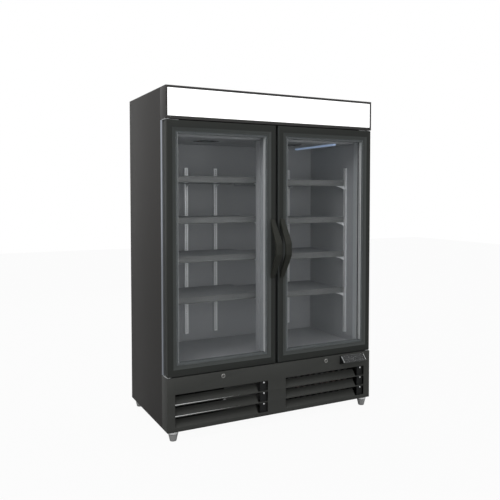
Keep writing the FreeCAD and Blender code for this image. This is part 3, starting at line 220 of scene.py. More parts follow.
def rigid_foam(name, colour):
    """Poured polyurethane foam: pale tan, matt, fine cells."""
    return surface(name, colour, 0.95, (80 * MM, 0.12), grain=3 * MM, texture="Voronoi",
                   output="Distance", bump=(0.5 * MM, 0.5))


def opal_acrylic(name, colour, glow):
    """Opal acrylic lit from behind: even white with a slight fall-off in patches."""
    return surface(name, colour, 0.22, (400 * MM, 0.015), IOR=1.49, Emission_Color=(*colour, 1),
                   Emission_Strength=glow)


def float_glass(name, colour, cover):
    """Clear float glass seen through: smooth, faintly grey, most light goes straight on."""
    return surface(name, colour, 0.03, grain=180 * MM, extra={"Detail": 4.0}, brushed=(0.02, 0.06),
                   IOR=1.52, Alpha=cover)


def anodised_aluminium(name, colour, metallic=0.8):
    """Extruded aluminium, anodised: satin metal with drawing lines along the section."""
    return surface(name, colour, 0.42, (120 * MM, 0.05), grain=1.2 * MM, extra=FINE, along=(1, 1, 0.04),
                   brushed=(0.34, 0.5), bump=(0.04 * MM, 0.25), Metallic=metallic)


def moulded_plastic(name, colour, gloss, shine=0.3, grain=1.6 * MM, depth=0.08 * MM):
    """Injection-moulded ABS or nylon: even colour with a spark-eroded grain."""
    return surface(name, colour, gloss, (90 * MM, 0.06), (gloss - 0.04, gloss + 0.05), grain, extra=FINE,
                   bump=(depth, 0.4), IOR=1.53, Specular_IOR_Level=shine)


def door_gasket(name, colour):
    """Soft PVC magnetic gasket: matt, with a little dust."""
    return surface(name, colour, 0.7, (50 * MM, 0.18), (0.6, 0.8), IOR=1.5, Specular_IOR_Level=0.2)


def epoxy_coated_wire(name, colour):
    """Steel wire dipped in epoxy: smooth satin coat, slightly uneven where it ran."""
    return surface(name, colour, 0.38, (25 * MM, 0.08), (0.3, 0.46), IOR=1.55)


def nickel_plate(name, colour):
    """Plated turned metal: bright, with fine turning marks."""
    return surface(name, colour, 0.22, (12 * MM, 0.05), grain=0.8 * MM, extra=FINE, along=(1, 1, 6),
                   brushed=(0.16, 0.32), Metallic=1.0)


def bare_fins(name, colour):
    """Thin aluminium fins: pale metal with painted shade in the gaps 2 mm apart, drawn 4 mm apart so they
    show.
    """
    made, tree, shader = start_material(name, colour, 0.45, Metallic=0.9)
    gap_shade_stripes = add_node(tree, "ShaderNodeTexWave", {"Scale": 1 / (8 * MM), "bands_direction": "X"},
                     {"Vector": place_on(tree)}).outputs["Fac"]
    # Painted shade: dark stripes where the gaps between fins lie.
    mixed = add_node(tree, "ShaderNodeMix", {"data_type": "RGBA", 7: (*colour, 1),
                                             6: (*(channel * 0.35 for channel in colour), 1)}, {0: gap_shade_stripes})
    tree.links.new(mixed.outputs[2], shader.inputs["Base Color"])
    relief(tree, shader, gap_shade_stripes, 0.8 * MM, 0.6)
    return made


def drawn_copper(name, colour):
    """Refrigeration copper tube: warm metal, slightly dulled in patches."""
    return surface(name, colour, 0.35, (30 * MM, 0.25), (0.25, 0.5), Metallic=1.0)


# Finish: how it is made, its colour (a code, or the panel's group and property), other values.
RECIPES = {
    "cabinet_powder_coat": (powder_coated_steel, ("freezer_cabinet", "paint"), 0.62, 0.1),
    "header_powder_coat": (powder_coated_steel, ("freezer_cabinet", "paint")),
    "frame_powder_coat": (powder_coated_steel, "#5a5c5c"),
    # Painted shade: a near-black coat for the base pan and the groove in each foot.
    "pan_powder_coat": (powder_coated_steel, "#1f2020"),
    "grille_powder_coat": (powder_coated_steel, ("freezer_cabinet", "grille_paint"), 0.5),
    "door_powder_coat": (powder_coated_steel, ("freezer_door", "paint"), 0.5),
    "bead_powder_coat": (powder_coated_steel, "#414443", 0.5),
    "mullion_paint": (powder_coated_steel, "#a4a6a9"),
    "compressor_enamel": (powder_coated_steel, "#151617", 0.22, 0.5),
    "galvanised_sheet": (galvanised_steel, "#8d8f90"),
    "hinge_zinc": (zinc_plated_steel, "#c9cbcc"),
    # Painted highlight: pale zinc strips stand in for the light caught by the slot edges.
    "slot_edge_zinc": (zinc_plated_steel, "#eceeee", (0.05, 1, 1)),
    "screw_zinc": (zinc_plated_steel, "#e0e1e2", (4, 1, 4)),
    "frame_edge_steel": (anodised_aluminium, "#8e949d"),
    "spacer_aluminium": (anodised_aluminium, "#dcdfe0", 0.3),
    "standard_zinc": (anodised_aluminium, "#eceef0", 0.5),
    "stucco_liner": (stucco_liner, ("freezer_inside", "liner")),
    "poured_foam": (rigid_foam, "#cdbf93"),
    "breaker_pvc": (moulded_plastic, "#a6aaad", 0.45),
    "strip_pvc": (moulded_plastic, ("freezer_inside", "strip"), 0.35, 0.3, 0.9 * MM, 0.02 * MM),
    "cover_plastic": (moulded_plastic, ("freezer_inside", "liner"), 0.55),
    "handle_abs": (moulded_plastic, ("freezer_door", "grip"), 0.45, 0.12),
    "control_abs": (moulded_plastic, "#141515", 0.4, 0.3, 2 * MM, 0.03 * MM),
    "smoked_window": (moulded_plastic, "#101112", 0.12, 0.3, 3 * MM, 0.01 * MM),
    "fan_nylon": (moulded_plastic, "#1b1c1d", 0.42),
    "black_nylon": (moulded_plastic, "#161617", 0.4),
    "sign_acrylic": (opal_acrylic, "#f4f5f5", ("freezer_header", "glow")),
    "lamp_diffuser": (opal_acrylic, "#a9c0e2", ("freezer_inside", "lamp_glow")),
    "door_glass": (float_glass, "#8d9496", ("freezer_door", "glass_cover")),
    "flap_polycarbonate": (float_glass, "#c8cbcc", 0.03),
    "flap_edge": (float_glass, "#d4d7d7", 0.6),
    "seal_rubber": (door_gasket, "#55595a"),
    "gasket_pvc": (door_gasket, "#4c4e4f"),
    "shelf_wire": (epoxy_coated_wire, ("freezer_inside", "shelf")),
    "fin_aluminium": (bare_fins, "#b5b8ba"),
    "copper_tube": (drawn_copper, "#b5704a"),
    "lock_nickel": (nickel_plate, "#a9a9a6"),
    "key_plug_nickel": (nickel_plate, "#6e6e6c"),
    "foot_zinc": (nickel_plate, "#b2b3b2"),
    "collar_zinc": (nickel_plate, "#eeefef"),
    "socket_brass": (nickel_plate, "#c9b37a"),
}
FINISHES = {}


def chosen(value):
    """A value as it stands, a colour code's linear colour, or what the panel's setting holds."""
    if isinstance(value, str):
        return linear(value)
    if isinstance(value, tuple) and isinstance(value[0], str):
        group, prop = value
        held = getattr(getattr(bpy.context.scene, group), prop)
        return held if isinstance(held, float) else tuple(held)
    return value


def finish(name):
    """The shared material of that name, made on first use."""
    if name not in FINISHES:
        maker, *values = RECIPES[name]
        FINISHES[name] = maker(name, *(chosen(value) for value in values))
    return FINISHES[name]


# --- mesh helpers
def block(mesh, low, high):
    """Closed box between two corners."""
    for vert in bmesh.ops.create_cube(mesh, size=1.0)["verts"]:
        vert.co = Vector(low[i] + (vert.co[i] + 0.5) * (high[i] - low[i]) for i in range(3))


def bridge(mesh, first, second):
    """Faces between two rings; a ring of one point makes a cap of triangles."""
    if len(first) == 1 and len(second) == 1:
        return
    count = max(len(first), len(second))
    for i in range(count):
        j = (i + 1) % count
        corners = (first[i % len(first)], first[j % len(first)], second[j % len(second)],
                   second[i % len(second)])
        mesh.faces.new(list(dict.fromkeys(corners)))


def loft(mesh, rings, closed=False):
    """Skin over rings of points; open lofts get flat ends, closed ones join last to first."""
    made = [[mesh.verts.new(point) for point in ring] for ring in rings]
    for first, second in zip(made, made[1:]):
        bridge(mesh, first, second)
    if closed:
        bridge(mesh, made[-1], made[0])
        return
    for ring in (made[0], made[-1]):
        if len(ring) > 2:
            mesh.faces.new(ring)


def lathe(mesh, profile, origin, axis, sides, closed=False):
    """Turned solid; profile gives (radius, along) from end to end, or all round a hollow one."""
    turn = axis.to_track_quat("Z", "Y").to_matrix()
    rings = []
    for radius, along in profile:
        count = sides if radius > 0 else 1
        rings.append([Vector(origin) + turn @ Vector((radius * math.cos(math.tau * i / sides),
                                                      radius * math.sin(math.tau * i / sides), along))
                      for i in range(count)])
    loft(mesh, rings, closed)


def bar(mesh, start, end, radius, sides):
    """Round bar with slightly rounded ends."""
    span = Vector(end) - Vector(start)
    length = span.length
    lip = min(radius * 0.3, length * 0.1)
    profile = [(radius - lip, 0), (radius, lip), (radius, length - lip), (radius - lip, length)]
    lathe(mesh, profile, start, span.normalized(), sides)


def tube(mesh, points, radius, sides):
    """Round tube along a run of points, its section carried on without twist."""
    points = [Vector(point) for point in points]
    heading = (points[1] - points[0]).normalized()
    across = heading.orthogonal().normalized()
    rings = []
    for i, point in enumerate(points):
        before = points[max(i - 1, 0)]
        after = points[min(i + 1, len(points) - 1)]
        turned = (after - before).normalized()
        across = (across - turned * across.dot(turned)).normalized()
        up = turned.cross(across)
        rings.append([point + across * (radius * math.cos(math.tau * k / sides))
                      + up * (radius * math.sin(math.tau * k / sides)) for k in range(sides)])
    loft(mesh, rings)


def prism(mesh, outline, axis, start, end):
    """Outline swept along one axis; the outline's pairs are the other two axes in order."""
    others = [i for i in range(3) if i != axis]
    rings = []
    for along in (start, end):
        ring = []
        for pair in outline:
            point = [0.0, 0.0, 0.0]
            point[axis] = along
            point[others[0]], point[others[1]] = pair
            ring.append(point)
        rings.append(ring)
    loft(mesh, rings)


def window_frame(mesh, low, high, profile):
    """Four mitred members round a rectangle in X and Z; profile gives (side inset, end inset, y)."""
    rings = []
    for side_in, end_in, y in profile:
        rings.append([(low[0] + side_in, y, low[2] + end_in), (high[0] - side_in, y, low[2] + end_in),
                      (high[0] - side_in, y, high[2] - end_in), (low[0] + side_in, y, high[2] - end_in)])
    loft(mesh, rings, closed=True)


def pierced(mesh, across, up, deep, holes, point):
    """Plate with rectangular holes; point turns (across, up, deep) into a place."""
    lines_u = sorted({*across, *(u for hole in holes for u in hole[:2])})
    lines_v = sorted({*up, *(v for hole in holes for v in hole[2:])})
    made = {}

    def corner(i, j, k):
        if (i, j, k) not in made:
            made[i, j, k] = mesh.verts.new(point(lines_u[i], lines_v[j], deep[k]))
        return made[i, j, k]

    def solid(i, j):
        if not (0 <= i < len(lines_u) - 1 and 0 <= j < len(lines_v) - 1):
            return False
        u = (lines_u[i] + lines_u[i + 1]) / 2
        v = (lines_v[j] + lines_v[j + 1]) / 2
        return not any(hole[0] < u < hole[1] and hole[2] < v < hole[3] for hole in holes)

    for i in range(len(lines_u) - 1):
        for j in range(len(lines_v) - 1):
            if not solid(i, j):
                continue
            for k in (0, 1):
                mesh.faces.new([corner(i, j, k), corner(i + 1, j, k), corner(i + 1, j + 1, k),
                                corner(i, j + 1, k)])
            edges = (((-1, 0), (i, j), (i, j + 1)), ((1, 0), (i + 1, j), (i + 1, j + 1)),
                     ((0, -1), (i, j), (i + 1, j)), ((0, 1), (i, j + 1), (i + 1, j + 1)))
            for (step_i, step_j), a, b in edges:
                if not solid(i + step_i, j + step_j):
                    mesh.faces.new([corner(*a, 0), corner(*b, 0), corner(*b, 1), corner(*a, 1)])


def rounded_section(width, depth, corner, steps):
    """Outline of a rectangle with round corners, about its own middle."""
    points = []
    for quarter, (sx, sy) in enumerate(((1, 1), (-1, 1), (-1, -1), (1, -1))):
        for step in range(steps + 1):
            angle = math.pi / 2 * (quarter + step / steps)
            points.append((sx * (width / 2 - corner) + corner * math.cos(angle),
                           sy * (depth / 2 - corner) + corner * math.sin(angle)))
    return points


def soften(mesh, width, segments=2, angle=30):
    """Rounds every edge sharper than an angle."""
    bmesh.ops.recalc_face_normals(mesh, faces=mesh.faces)
    sharp = [edge for edge in mesh.edges
             if len(edge.link_faces) == 2 and edge.calc_face_angle(0) > math.radians(angle)]
    if sharp:
        bmesh.ops.bevel(mesh, geom=sharp, offset=width, segments=segments, profile=0.5,
                        affect="EDGES", clamp_overlap=True)


def settle(name, mesh, finish_name, replaced=(), body="cabinet", edge=None, smooth=35):
    """Turns a mesh under construction into a piece that rides on its body."""
    if edge:
        soften(mesh, edge)
    bmesh.ops.recalc_face_normals(mesh, faces=mesh.faces)
    data = bpy.data.meshes.new(name)
    mesh.to_mesh(data)
    mesh.free()
    data.materials.append(finish(finish_name))
    for face in data.polygons:
        face.use_smooth = face.area < SHEET_AREA
    data.set_sharp_from_angle(angle=math.radians(smooth))
    piece = bpy.data.objects.new(name, data)
    bpy.context.scene.collection.objects.link(piece)
    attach(piece, body)
    if replaced:
        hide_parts(*replaced)
    return piece


def redress(node, name, finish_name, edge, body="cabinet", segments=2):
    """Replaces a frame node with its own shape, its flat faces whole and its edges rounded."""
    mesh = bmesh.new()
    mesh.from_mesh(frame["nodes"][node].data)
    bmesh.ops.remove_doubles(mesh, verts=mesh.verts, dist=1e-6)
    bmesh.ops.dissolve_limit(mesh, angle_limit=math.radians(1), verts=mesh.verts, edges=mesh.edges)
    soften(mesh, edge, segments)
    return settle(name, mesh, finish_name, [node], body=body)


def part_finish(piece, finish_name, picked):
    """Gives the faces that a test picks, by middle and normal, a finish of their own."""
    piece.data.materials.append(finish(finish_name))
    for face in piece.data.polygons:
        if picked(face.center, face.normal):
            face.material_index = len(piece.data.materials) - 1


def carve(piece, cutter):
    """Takes a cutter's shape out of a piece and throws the cutter away."""
    bmesh.ops.recalc_face_normals(cutter, faces=cutter.faces)
    data = bpy.data.meshes.new("cutter")
    cutter.to_mesh(data)
    cutter.free()
    tool = bpy.data.objects.new("cutter", data)
    bpy.context.scene.collection.objects.link(tool)
    change = piece.modifiers.new("carve", "BOOLEAN")
    change.operation = "DIFFERENCE"
    change.solver = "EXACT"
    change.object = tool
    bpy.context.view_layer.update()
    seen = piece.evaluated_get(bpy.context.evaluated_depsgraph_get())
    result = bpy.data.meshes.new_from_object(seen)
    piece.modifiers.clear()
    piece.data = result
    bpy.data.objects.remove(tool)


def dress(node, finish_name):
    """Gives a frame node that stays as it is its finish."""
    data = frame["nodes"][node].data
    data.materials.clear()
    data.materials.append(finish(finish_name))


# --- what a user may change
class FreezerCabinetSettings(bpy.types.PropertyGroup):
    paint: FloatVectorProperty(name="Cabinet paint", description="Powder coat of the cabinet and header",
                               default=linear("#383736"), size=3, min=0, max=1, subtype="COLOR")
    grille_paint: FloatVectorProperty(name="Grille paint", description="Powder coat of the machine panel",
                                      default=linear("#3a3b39"), size=3, min=0, max=1, subtype="COLOR")
    sheet_edge: FloatProperty(name="Folded edge", description="Outer radius of the folded sheet edges",
                              default=0.8 * MM, min=0.1 * MM, max=3 * MM, unit="LENGTH")


class FreezerHeaderSettings(bpy.types.PropertyGroup):
    glow: FloatProperty(name="Sign glow", description="How strongly the sign lights up", default=0.75,
                        min=0, max=3)


class FreezerDoorSettings(bpy.types.PropertyGroup):
    paint: FloatVectorProperty(name="Door paint", description="Powder coat of the door frames",
                               default=linear("#292b29"), size=3, min=0, max=1, subtype="COLOR")
    grip: FloatVectorProperty(name="Handle colour", description="Moulded colour of the door handles",
                              default=linear("#2a2b27"), size=3, min=0, max=1, subtype="COLOR")
    glass_cover: FloatProperty(name="Glass cover", description="Share of light each glass face holds back",
                               default=0.015, min=0, max=1, subtype="FACTOR")


class FreezerInsideSettings(bpy.types.PropertyGroup):
    liner: FloatVectorProperty(name="Liner paint", description="Paint of the cabinet's inside",
                               default=linear("#9a9c9f"), size=3, min=0, max=1, subtype="COLOR")
    shelf: FloatVectorProperty(name="Shelf coat", description="Epoxy coat of the wire shelves",
                               default=linear("#696b6e"), size=3, min=0, max=1, subtype="COLOR")
    strip: FloatVectorProperty(name="Price strip", description="Colour of the shelf-edge strips",
                               default=linear("#666868"), size=3, min=0, max=1, subtype="COLOR")
    wire_pitch: FloatProperty(name="Wire pitch", description="Shelf wire to shelf wire",
                              default=14.5 * MM, min=8 * MM, max=40 * MM, unit="LENGTH")
    support_wires: IntProperty(name="Support wires", description="Bent wires under each shelf",
                               default=9, min=3, max=20)
    lamp_glow: FloatProperty(name="Lamp glow", description="How strongly the ceiling lamp lights up",
                             default=0.34, min=0, max=3)


# --- cabinet
def pan_screw(mesh, place, axis, radius, height):
    """Pan-head screw whose head stands out along an axis from a place on a sheet."""
    profile = [(0, 0), (radius, 0), (radius, height * 0.45), (radius * 0.86, height * 0.8),
               (radius * 0.5, height), (0, height)]
    lathe(mesh, profile, place, axis, 20)


def cross_recess(mesh, place, axis, radius, height):
    """Cutter for a cross recess in a screw head."""
    turn = axis.to_track_quat("Z", "Y").to_matrix()
    arm, half = radius * 0.55, radius * 0.13
    outline = []
    for u, v in ((1, 0), (0, 1), (-1, 0), (0, -1)):
        ahead, aside = Vector((u, v, 0)), Vector((-v, u, 0))
        outline += [ahead * arm - aside * half, ahead * arm + aside * half, (ahead + aside) * half]
    loft(mesh, [[Vector(place) + turn @ (point + Z_AXIS * height * rise) for point in outline]
                for rise in (0.45, 1.4)])


def build_face_frame(edge):
    """The frame behind the doors; bright folded steel closes its outer sides."""
    # Painted light: the frame's grey is lightened so that the shaded recess round the doors reads lighter.
    piece = redress("face_frame", "door_opening_frame", "frame_powder_coat", edge)
    low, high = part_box("face_frame")
    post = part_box("mullion")
    # The lining round the opening is pale PVC, like the breaker on the centre post.
    part_finish(piece, "breaker_pvc", lambda at, out: low.x + 30 * MM < at.x < high.x - 30 * MM
                and post[0].z - 10 * MM < at.z < post[1].z + 10 * MM and at.y > low.y + 0.5 * MM)
    sheet, wrap = 1.6 * MM, 0.6 * MM
    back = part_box("side_panel_left")[0].y
    mesh = bmesh.new()
    for sign in SIDES.values():
        corners = sorted((high.x * sign, (high.x + sheet) * sign))
        block(mesh, (corners[0], low.y + wrap, low.z + sheet), (corners[1], back - wrap, high.z - sheet))
    settle("frame_side_strips", mesh, "frame_edge_steel", edge=0.4 * MM)


def build_post():
    """Centre post: a painted rear part and a plastic breaker that the gaskets close on."""
    low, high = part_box("mullion")
    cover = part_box("evaporator_cover")[0]
    groove, gap = low.y + 44 * MM, 7 * MM
    top = cover.z - 2 * MM
    mesh = bmesh.new()
    block(mesh, low, (high.x, groove, high.z))
    settle("post_breaker", mesh, "breaker_pvc", ["mullion"], edge=2 * MM)
    mesh = bmesh.new()
    block(mesh, (low.x, groove + gap, low.z), (high.x, high.y, top))
    settle("centre_post", mesh, "mullion_paint", edge=1.5 * MM)
    mesh = bmesh.new()
    inset = 5 * MM
    block(mesh, (low.x + inset, groove - 1 * MM, low.z), (high.x - inset, groove + gap + 1 * MM, top))
    settle("post_core", mesh, "gasket_pvc")


class FREEZER_OT_cabinet(bpy.types.Operator):
    """Side, top and rear sheets, face frame, centre post, base pan and liner."""
    bl_idname = "freezer.cabinet"
    bl_label = "Cabinet"

    def execute(self, context):
        edge = context.scene.freezer_cabinet.sheet_edge
        for sheet in ("side_panel_left", "side_panel_right", "top_panel"):
            redress(sheet, sheet.replace("panel", "sheet"), "cabinet_powder_coat",
                    edge * 0.6)
        build_face_frame(edge)
        build_post()
        dress("rear_panel", "galvanised_sheet")
        dress("insulation", "poured_foam")
        dress("inner_liner", "stucco_liner")
        # Painted shade: the base pan is near black so the pocket behind the bladeless slot ends reads
        # dark.
        dress("base_pan", "pan_powder_coat")
        return {"FINISHED"}


# --- header
class FREEZER_OT_header(bpy.types.Operator):
    """Header box, its lit sign and the light bar behind the sign."""
    bl_idname = "freezer.header"
    bl_label = "Header"

    def execute(self, context):
        redress("header_housing", "header_box", "header_powder_coat",
                context.scene.freezer_cabinet.sheet_edge)
        low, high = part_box("sign_panel")
        mesh = bmesh.new()
        block(mesh, low, high)
        settle("sign_face", mesh, "sign_acrylic", ["sign_panel"], edge=0.6 * MM)
        low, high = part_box("sign_lamp")
        mesh = bmesh.new()
        lens = [(low.y, low.z), (high.y, low.z), (high.y, low.z + 5 * MM), (high.y - 5 * MM, high.z),
                (low.y + 5 * MM, high.z), (low.y, low.z + 5 * MM)]
        prism(mesh, lens, 0, low.x, high.x)
        settle("sign_light_bar", mesh, "lamp_diffuser", ["sign_lamp"], edge=0.8 * MM)
        return {"FINISHED"}


# --- machine panel
def build_panel():
    """Punched front sheet with folded returns and ledge, and a pressed blade in each slot."""
    low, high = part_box("grille_panel")
    sheet, border, inner = 1.5 * MM, 45 * MM, 61 * MM
    slot, pitch, pocket, rise, depth = 58 * MM, 64 * MM, 64 * MM, 38 * MM, 34 * MM
    spans = ((low.x + border, -inner), (inner, high.x - border))
    floors = [low.z + 23 * MM + row * pitch for row in range(3)]
    mesh = bmesh.new()
    slots = [(*span, floor, floor + slot) for span in spans for floor in floors]
    pierced(mesh, (low.x, high.x), (low.z, high.z), (low.y, low.y + sheet), slots,
            lambda u, v, w: (u, w, v))
    plugs = [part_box(f"lock_plug_{side}") for side in SIDES]
    clear, cam = 2 * MM, 3 * MM
    gates = [(plug[0].x + 1 * MM - clear, plug[1].x + clear, plug[1].y - cam - clear,
              plug[1].y + clear) for plug in plugs]
    pierced(mesh, (low.x + sheet, high.x - sheet), (low.y + sheet, high.y), (high.z - sheet, high.z),
            gates, lambda u, v, w: (u, v, w))
    for start in (low.x, high.x - sheet):
        block(mesh, (start, low.y + 0.3 * MM, low.z), (start + sheet, high.y, high.z - 0.2 * MM))
    panel = settle("louvred_panel", mesh, "grille_powder_coat", ["grille_panel"],
                   edge=0.4 * MM)
    bores = bmesh.new()
    for plug in plugs:
        lathe(bores, [(10.3 * MM, 0), (10.3 * MM, 4 * MM)],
              (plug[0].x + PLUG_RADIUS, low.y + 3 * MM, (plug[0].z + plug[1].z) / 2), -Y_AXIS, 40)
    carve(panel, bores)
    mesh = bmesh.new()
    front = low.y + 0.2 * MM
    for start, end in spans:
        for floor in floors:
            # Rolled nose over the slot's lower edge, then the blade climbs to the rear.
            nose = [(front, floor - 1.2 * MM), (front + 1.6 * MM, floor - 1.2 * MM),
                    (front + depth, floor + rise - sheet), (front + depth, floor + rise),
                    (front + 2.6 * MM, floor + 2.6 * MM), (front + 1.0 * MM, floor + 2.2 * MM),
                    (front, floor + 1.0 * MM)]
            prism(mesh, nose, 0, start, end - pocket)
    settle("louvre_blades", mesh, "grille_powder_coat", edge=0.35 * MM)
    mesh = bmesh.new()
    start = spans[0][0]
    run, thick, thin, lip = 400 * MM, 4.6 * MM, 0.4 * MM, 1 * MM
    for floor in floors[1:]:
        # Painted highlight: a pale strip on the rolled lower edge stands in for the light it catches,
        # thinner and thinner along the slot.
        under = floor - lip
        loft(mesh, [[(x, low.y, under), (x, low.y + lip, under), (x, low.y + lip, under + tall),
                     (x, low.y, under + tall)] for x, tall in ((start, thick), (start + run, thin))])
    settle("bright_slot_edges", mesh, "slot_edge_zinc")


def build_screws():
    """Cross-recess screws in the bladeless slot ends."""
    low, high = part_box("grille_screws")
    radius = 5.5 * MM
    heads = bmesh.new()
    crosses = bmesh.new()
    middle = (low.z + high.z) / 2
    for x in (low.x + radius, high.x - radius):
        for z in (low.z + radius, middle, high.z - radius):
            spot = (x, high.y, z)
            pan_screw(heads, spot, -Y_AXIS, radius, high.y - low.y)
            cross_recess(crosses, spot, -Y_AXIS, radius, high.y - low.y)
    piece = settle("panel_screws", heads, "screw_zinc", ["grille_screws"])
    carve(piece, crosses)


def build_locks():
    """Two lock barrels with face rings, and their turning plugs with cams."""
    low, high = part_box("lock_housings")
    rings = bmesh.new()
    flange = (high.z - low.z) / 2
    middle = (high.z + low.z) / 2
    face = high.y - low.y
    for sign in SIDES.values():
        x = (high.x - flange) * sign
        # Turned ring: outer face chamfered, inner lip just clear of the plug.
        profile = [(8.1 * MM, 0), (10 * MM, 0), (10 * MM, face - 2.6 * MM), (flange, face - 2.5 * MM),
                   (flange, face - 1.2 * MM), (flange - 1.6 * MM, face), (9 * MM, face),
                   (8.1 * MM, face - 0.8 * MM)]
        lathe(rings, profile, (x, high.y, middle), -Y_AXIS, 40, closed=True)
    settle("lock_rings", rings, "lock_nickel", ["lock_housings"])
    for side in SIDES:
        node = f"lock_plug_{side}"
        low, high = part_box(node)
        plug_x = low.x + PLUG_RADIUS
        middle = (low.z + high.z) / 2
        length = high.y - low.y
        mesh = bmesh.new()
        snug = PLUG_RADIUS - 0.05 * MM
        lathe(mesh, [(0, 0), (snug, 0), (snug, length - 0.6 * MM), (7.3 * MM, length), (0, length)],
              (plug_x, high.y, middle), -Y_AXIS, 40)
        piece = settle(f"key_plug_{side}", mesh, "key_plug_nickel", [node], body=f"lock_{side}")
        slot = bmesh.new()
        block(slot, (plug_x - 4 * MM, low.y - 1 * MM, middle - 1 * MM),
              (plug_x + 4 * MM, low.y + 3 * MM, middle + 1 * MM))
        carve(piece, slot)
        cam = bmesh.new()
        tip = high.x
        outline = [(plug_x - 7 * MM, middle - 4 * MM), (plug_x - 4 * MM, middle - 7 * MM),
                   (tip - 4 * MM, middle - 5 * MM), (tip, middle - 2 * MM), (tip, middle + 2 * MM),
                   (tip - 4 * MM, middle + 5 * MM), (plug_x - 4 * MM, middle + 7 * MM),
                   (plug_x - 7 * MM, middle + 4 * MM)]
        prism(cam, outline, 1, high.y - 3 * MM, high.y - 0.05 * MM)
        settle(f"lock_cam_{side}", cam, "hinge_zinc", body=f"lock_{side}", edge=0.5 * MM)


class FREEZER_OT_grille(bpy.types.Operator):
    """Louvred machine panel with its screws and key locks."""
    bl_idname = "freezer.grille"
    bl_label = "Machine panel"

    def execute(self, context):
        build_panel()
        build_screws()
        build_locks()
        return {"FINISHED"}


# --- controller
class FREEZER_OT_controller(bpy.types.Operator):
    """Wedge-shaped controller with display, three buttons and clear flap."""
    bl_idname = "freezer.controller"
    bl_label = "Controller"

    def execute(self, context):
        redress("controller_housing", "controller_case", "control_abs", 0.7 * MM)
        redress("controller_display", "display_window", "smoked_window", 0.3 * MM)
        flap = redress("controller_flap", "clear_flap", "flap_polycarbonate", 0.4 * MM, "flap")
        # Painted highlight: the flap's side faces and the beads along them are pale and nearly opaque so
        # its edges read bright.
        part_finish(flap, "flap_edge", lambda at, out: abs(out.x) > 0.9)
        low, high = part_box("controller_flap")
        mesh = bmesh.new()
        for x in (low.x + 2.4 * MM, high.x - 2.4 * MM):
            bar(mesh, (x, low.y + 2.8 * MM, low.z + 4.5 * MM), (x, low.y + 32.5 * MM, low.z + 34.5 * MM),
                1.8 * MM, 10)
        settle("flap_side_beads", mesh, "flap_edge", body="flap")
        for number in (1, 2, 3):
            redress(f"controller_button_{number}", f"push_button_{number}", "fan_nylon",
                    0.6 * MM, f"button_{number}", 3)
        return {"FINISHED"}


# --- doors
def build_door_frame(side):
    """Mitred extrusion: flat face, sloped glazing bead, glass groove and rear step."""
    node = f"door_frame_{side}"
    low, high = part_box(node)
    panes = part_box(f"glass_panes_{side}")
    stile, rail, step, tail = 42 * MM, 49 * MM, 10 * MM, 12 * MM
    front, back = low.y, high.y
    bead = panes[0].y - 1.2 * MM
    groove_front = panes[0].y - 0.15 * MM
    groove_back = panes[1].y + 0.15 * MM
    outer = [(0, back - tail), (0, front + 3.5 * MM), (1 * MM, front + 1.2 * MM), (3.2 * MM, front)]
    wide = 11 * MM
    inner = [(wide, front), (wide - 1.5 * MM, front + 1.2 * MM), (1 * MM, bead - 1.2 * MM), (0, bead),
             (0, groove_front), (-10 * MM, groove_front), (-10 * MM, groove_back),
             (0, groove_back), (0, back - 1 * MM), (1 * MM, back)]
    rear = [(step, back), (step, back - tail)]
    profile = [(inset, inset, y) for inset, y in outer]
    profile += [(stile - inset, rail - inset, y) for inset, y in inner]
    profile += [(inset, inset, y) for inset, y in rear]
    mesh = bmesh.new()
    window_frame(mesh, low, high, profile)
    piece = settle(f"door_extrusion_{side}", mesh, "door_powder_coat", [node],
                   body=f"door_{side}", edge=0.5 * MM)
    cutter = bmesh.new()
    pin = AXES[f"door_{side}_hinge"]
    for start, end in ((low.z - 1 * MM, low.z + 22 * MM), (high.z - 22 * MM, high.z + 1 * MM)):
        lathe(cutter, [(5.1 * MM, 0), (5.1 * MM, end - start)], (pin.x, pin.y, start), Z_AXIS, 32)
    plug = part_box(f"lock_plug_{side}")
    block(cutter, (plug[0].x - 1 * MM, plug[1].y - 5 * MM, low.z - 1 * MM),
          (plug[1].x + 2 * MM, plug[1].y + 2 * MM, (plug[0].z + plug[1].z) / 2 + 47 * MM))
    carve(piece, cutter)

    # Painted light: a lighter copy of the door paint stands in for the light on the glazing bead and lifts
    # the shade on the meeting edges and the rear step.
    def painted_light_faces(at, out):
        inset = min(at.x - low.x, high.x - at.x, at.z - low.z, high.z - at.z)
        return (inset > stile - wide and at.y > front + 0.3 * MM) or abs(at.x) < 11.5 * MM or (
            inset < step + 1 * MM and at.y > back - tail - 0.5 * MM)

    part_finish(piece, "bead_powder_coat", painted_light_faces)


def build_glass(side):
    """Three panes, the dark edge seals between them and the bright upright spacer bars."""
    node = f"glass_panes_{side}"
    low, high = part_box(node)
    mesh = bmesh.new()
    pane, band, foil = 4 * MM, 33.2 * MM, 0.8 * MM
    starts = [low.y + level * (high.y - low.y - pane) / 2 for level in range(3)]
    for start in starts:
        block(mesh, (low.x, start, low.z), (high.x, start + pane, high.z))
    settle(f"glass_{side}", mesh, "door_glass", [node], body=f"door_{side}")
    seal = bmesh.new()
    bars = bmesh.new()
    for start, end in zip(starts, starts[1:]):
        near, far = start + pane + 0.15 * MM, end - 0.15 * MM
        window_frame(seal, low, high, [(0, 0, near), (band, band, near), (band, band, far), (0, 0, far)])
        for start_x in (low.x + band, high.x - band - foil):
            block(bars, (start_x, near + 0.4 * MM, low.z + band),
                  (start_x + foil, far - 0.4 * MM, high.z - band))
    settle(f"edge_seal_{side}", seal, "seal_rubber", [f"glass_spacers_{side}"],
           body=f"door_{side}")
    settle(f"spacer_bars_{side}", bars, "spacer_aluminium", body=f"door_{side}")


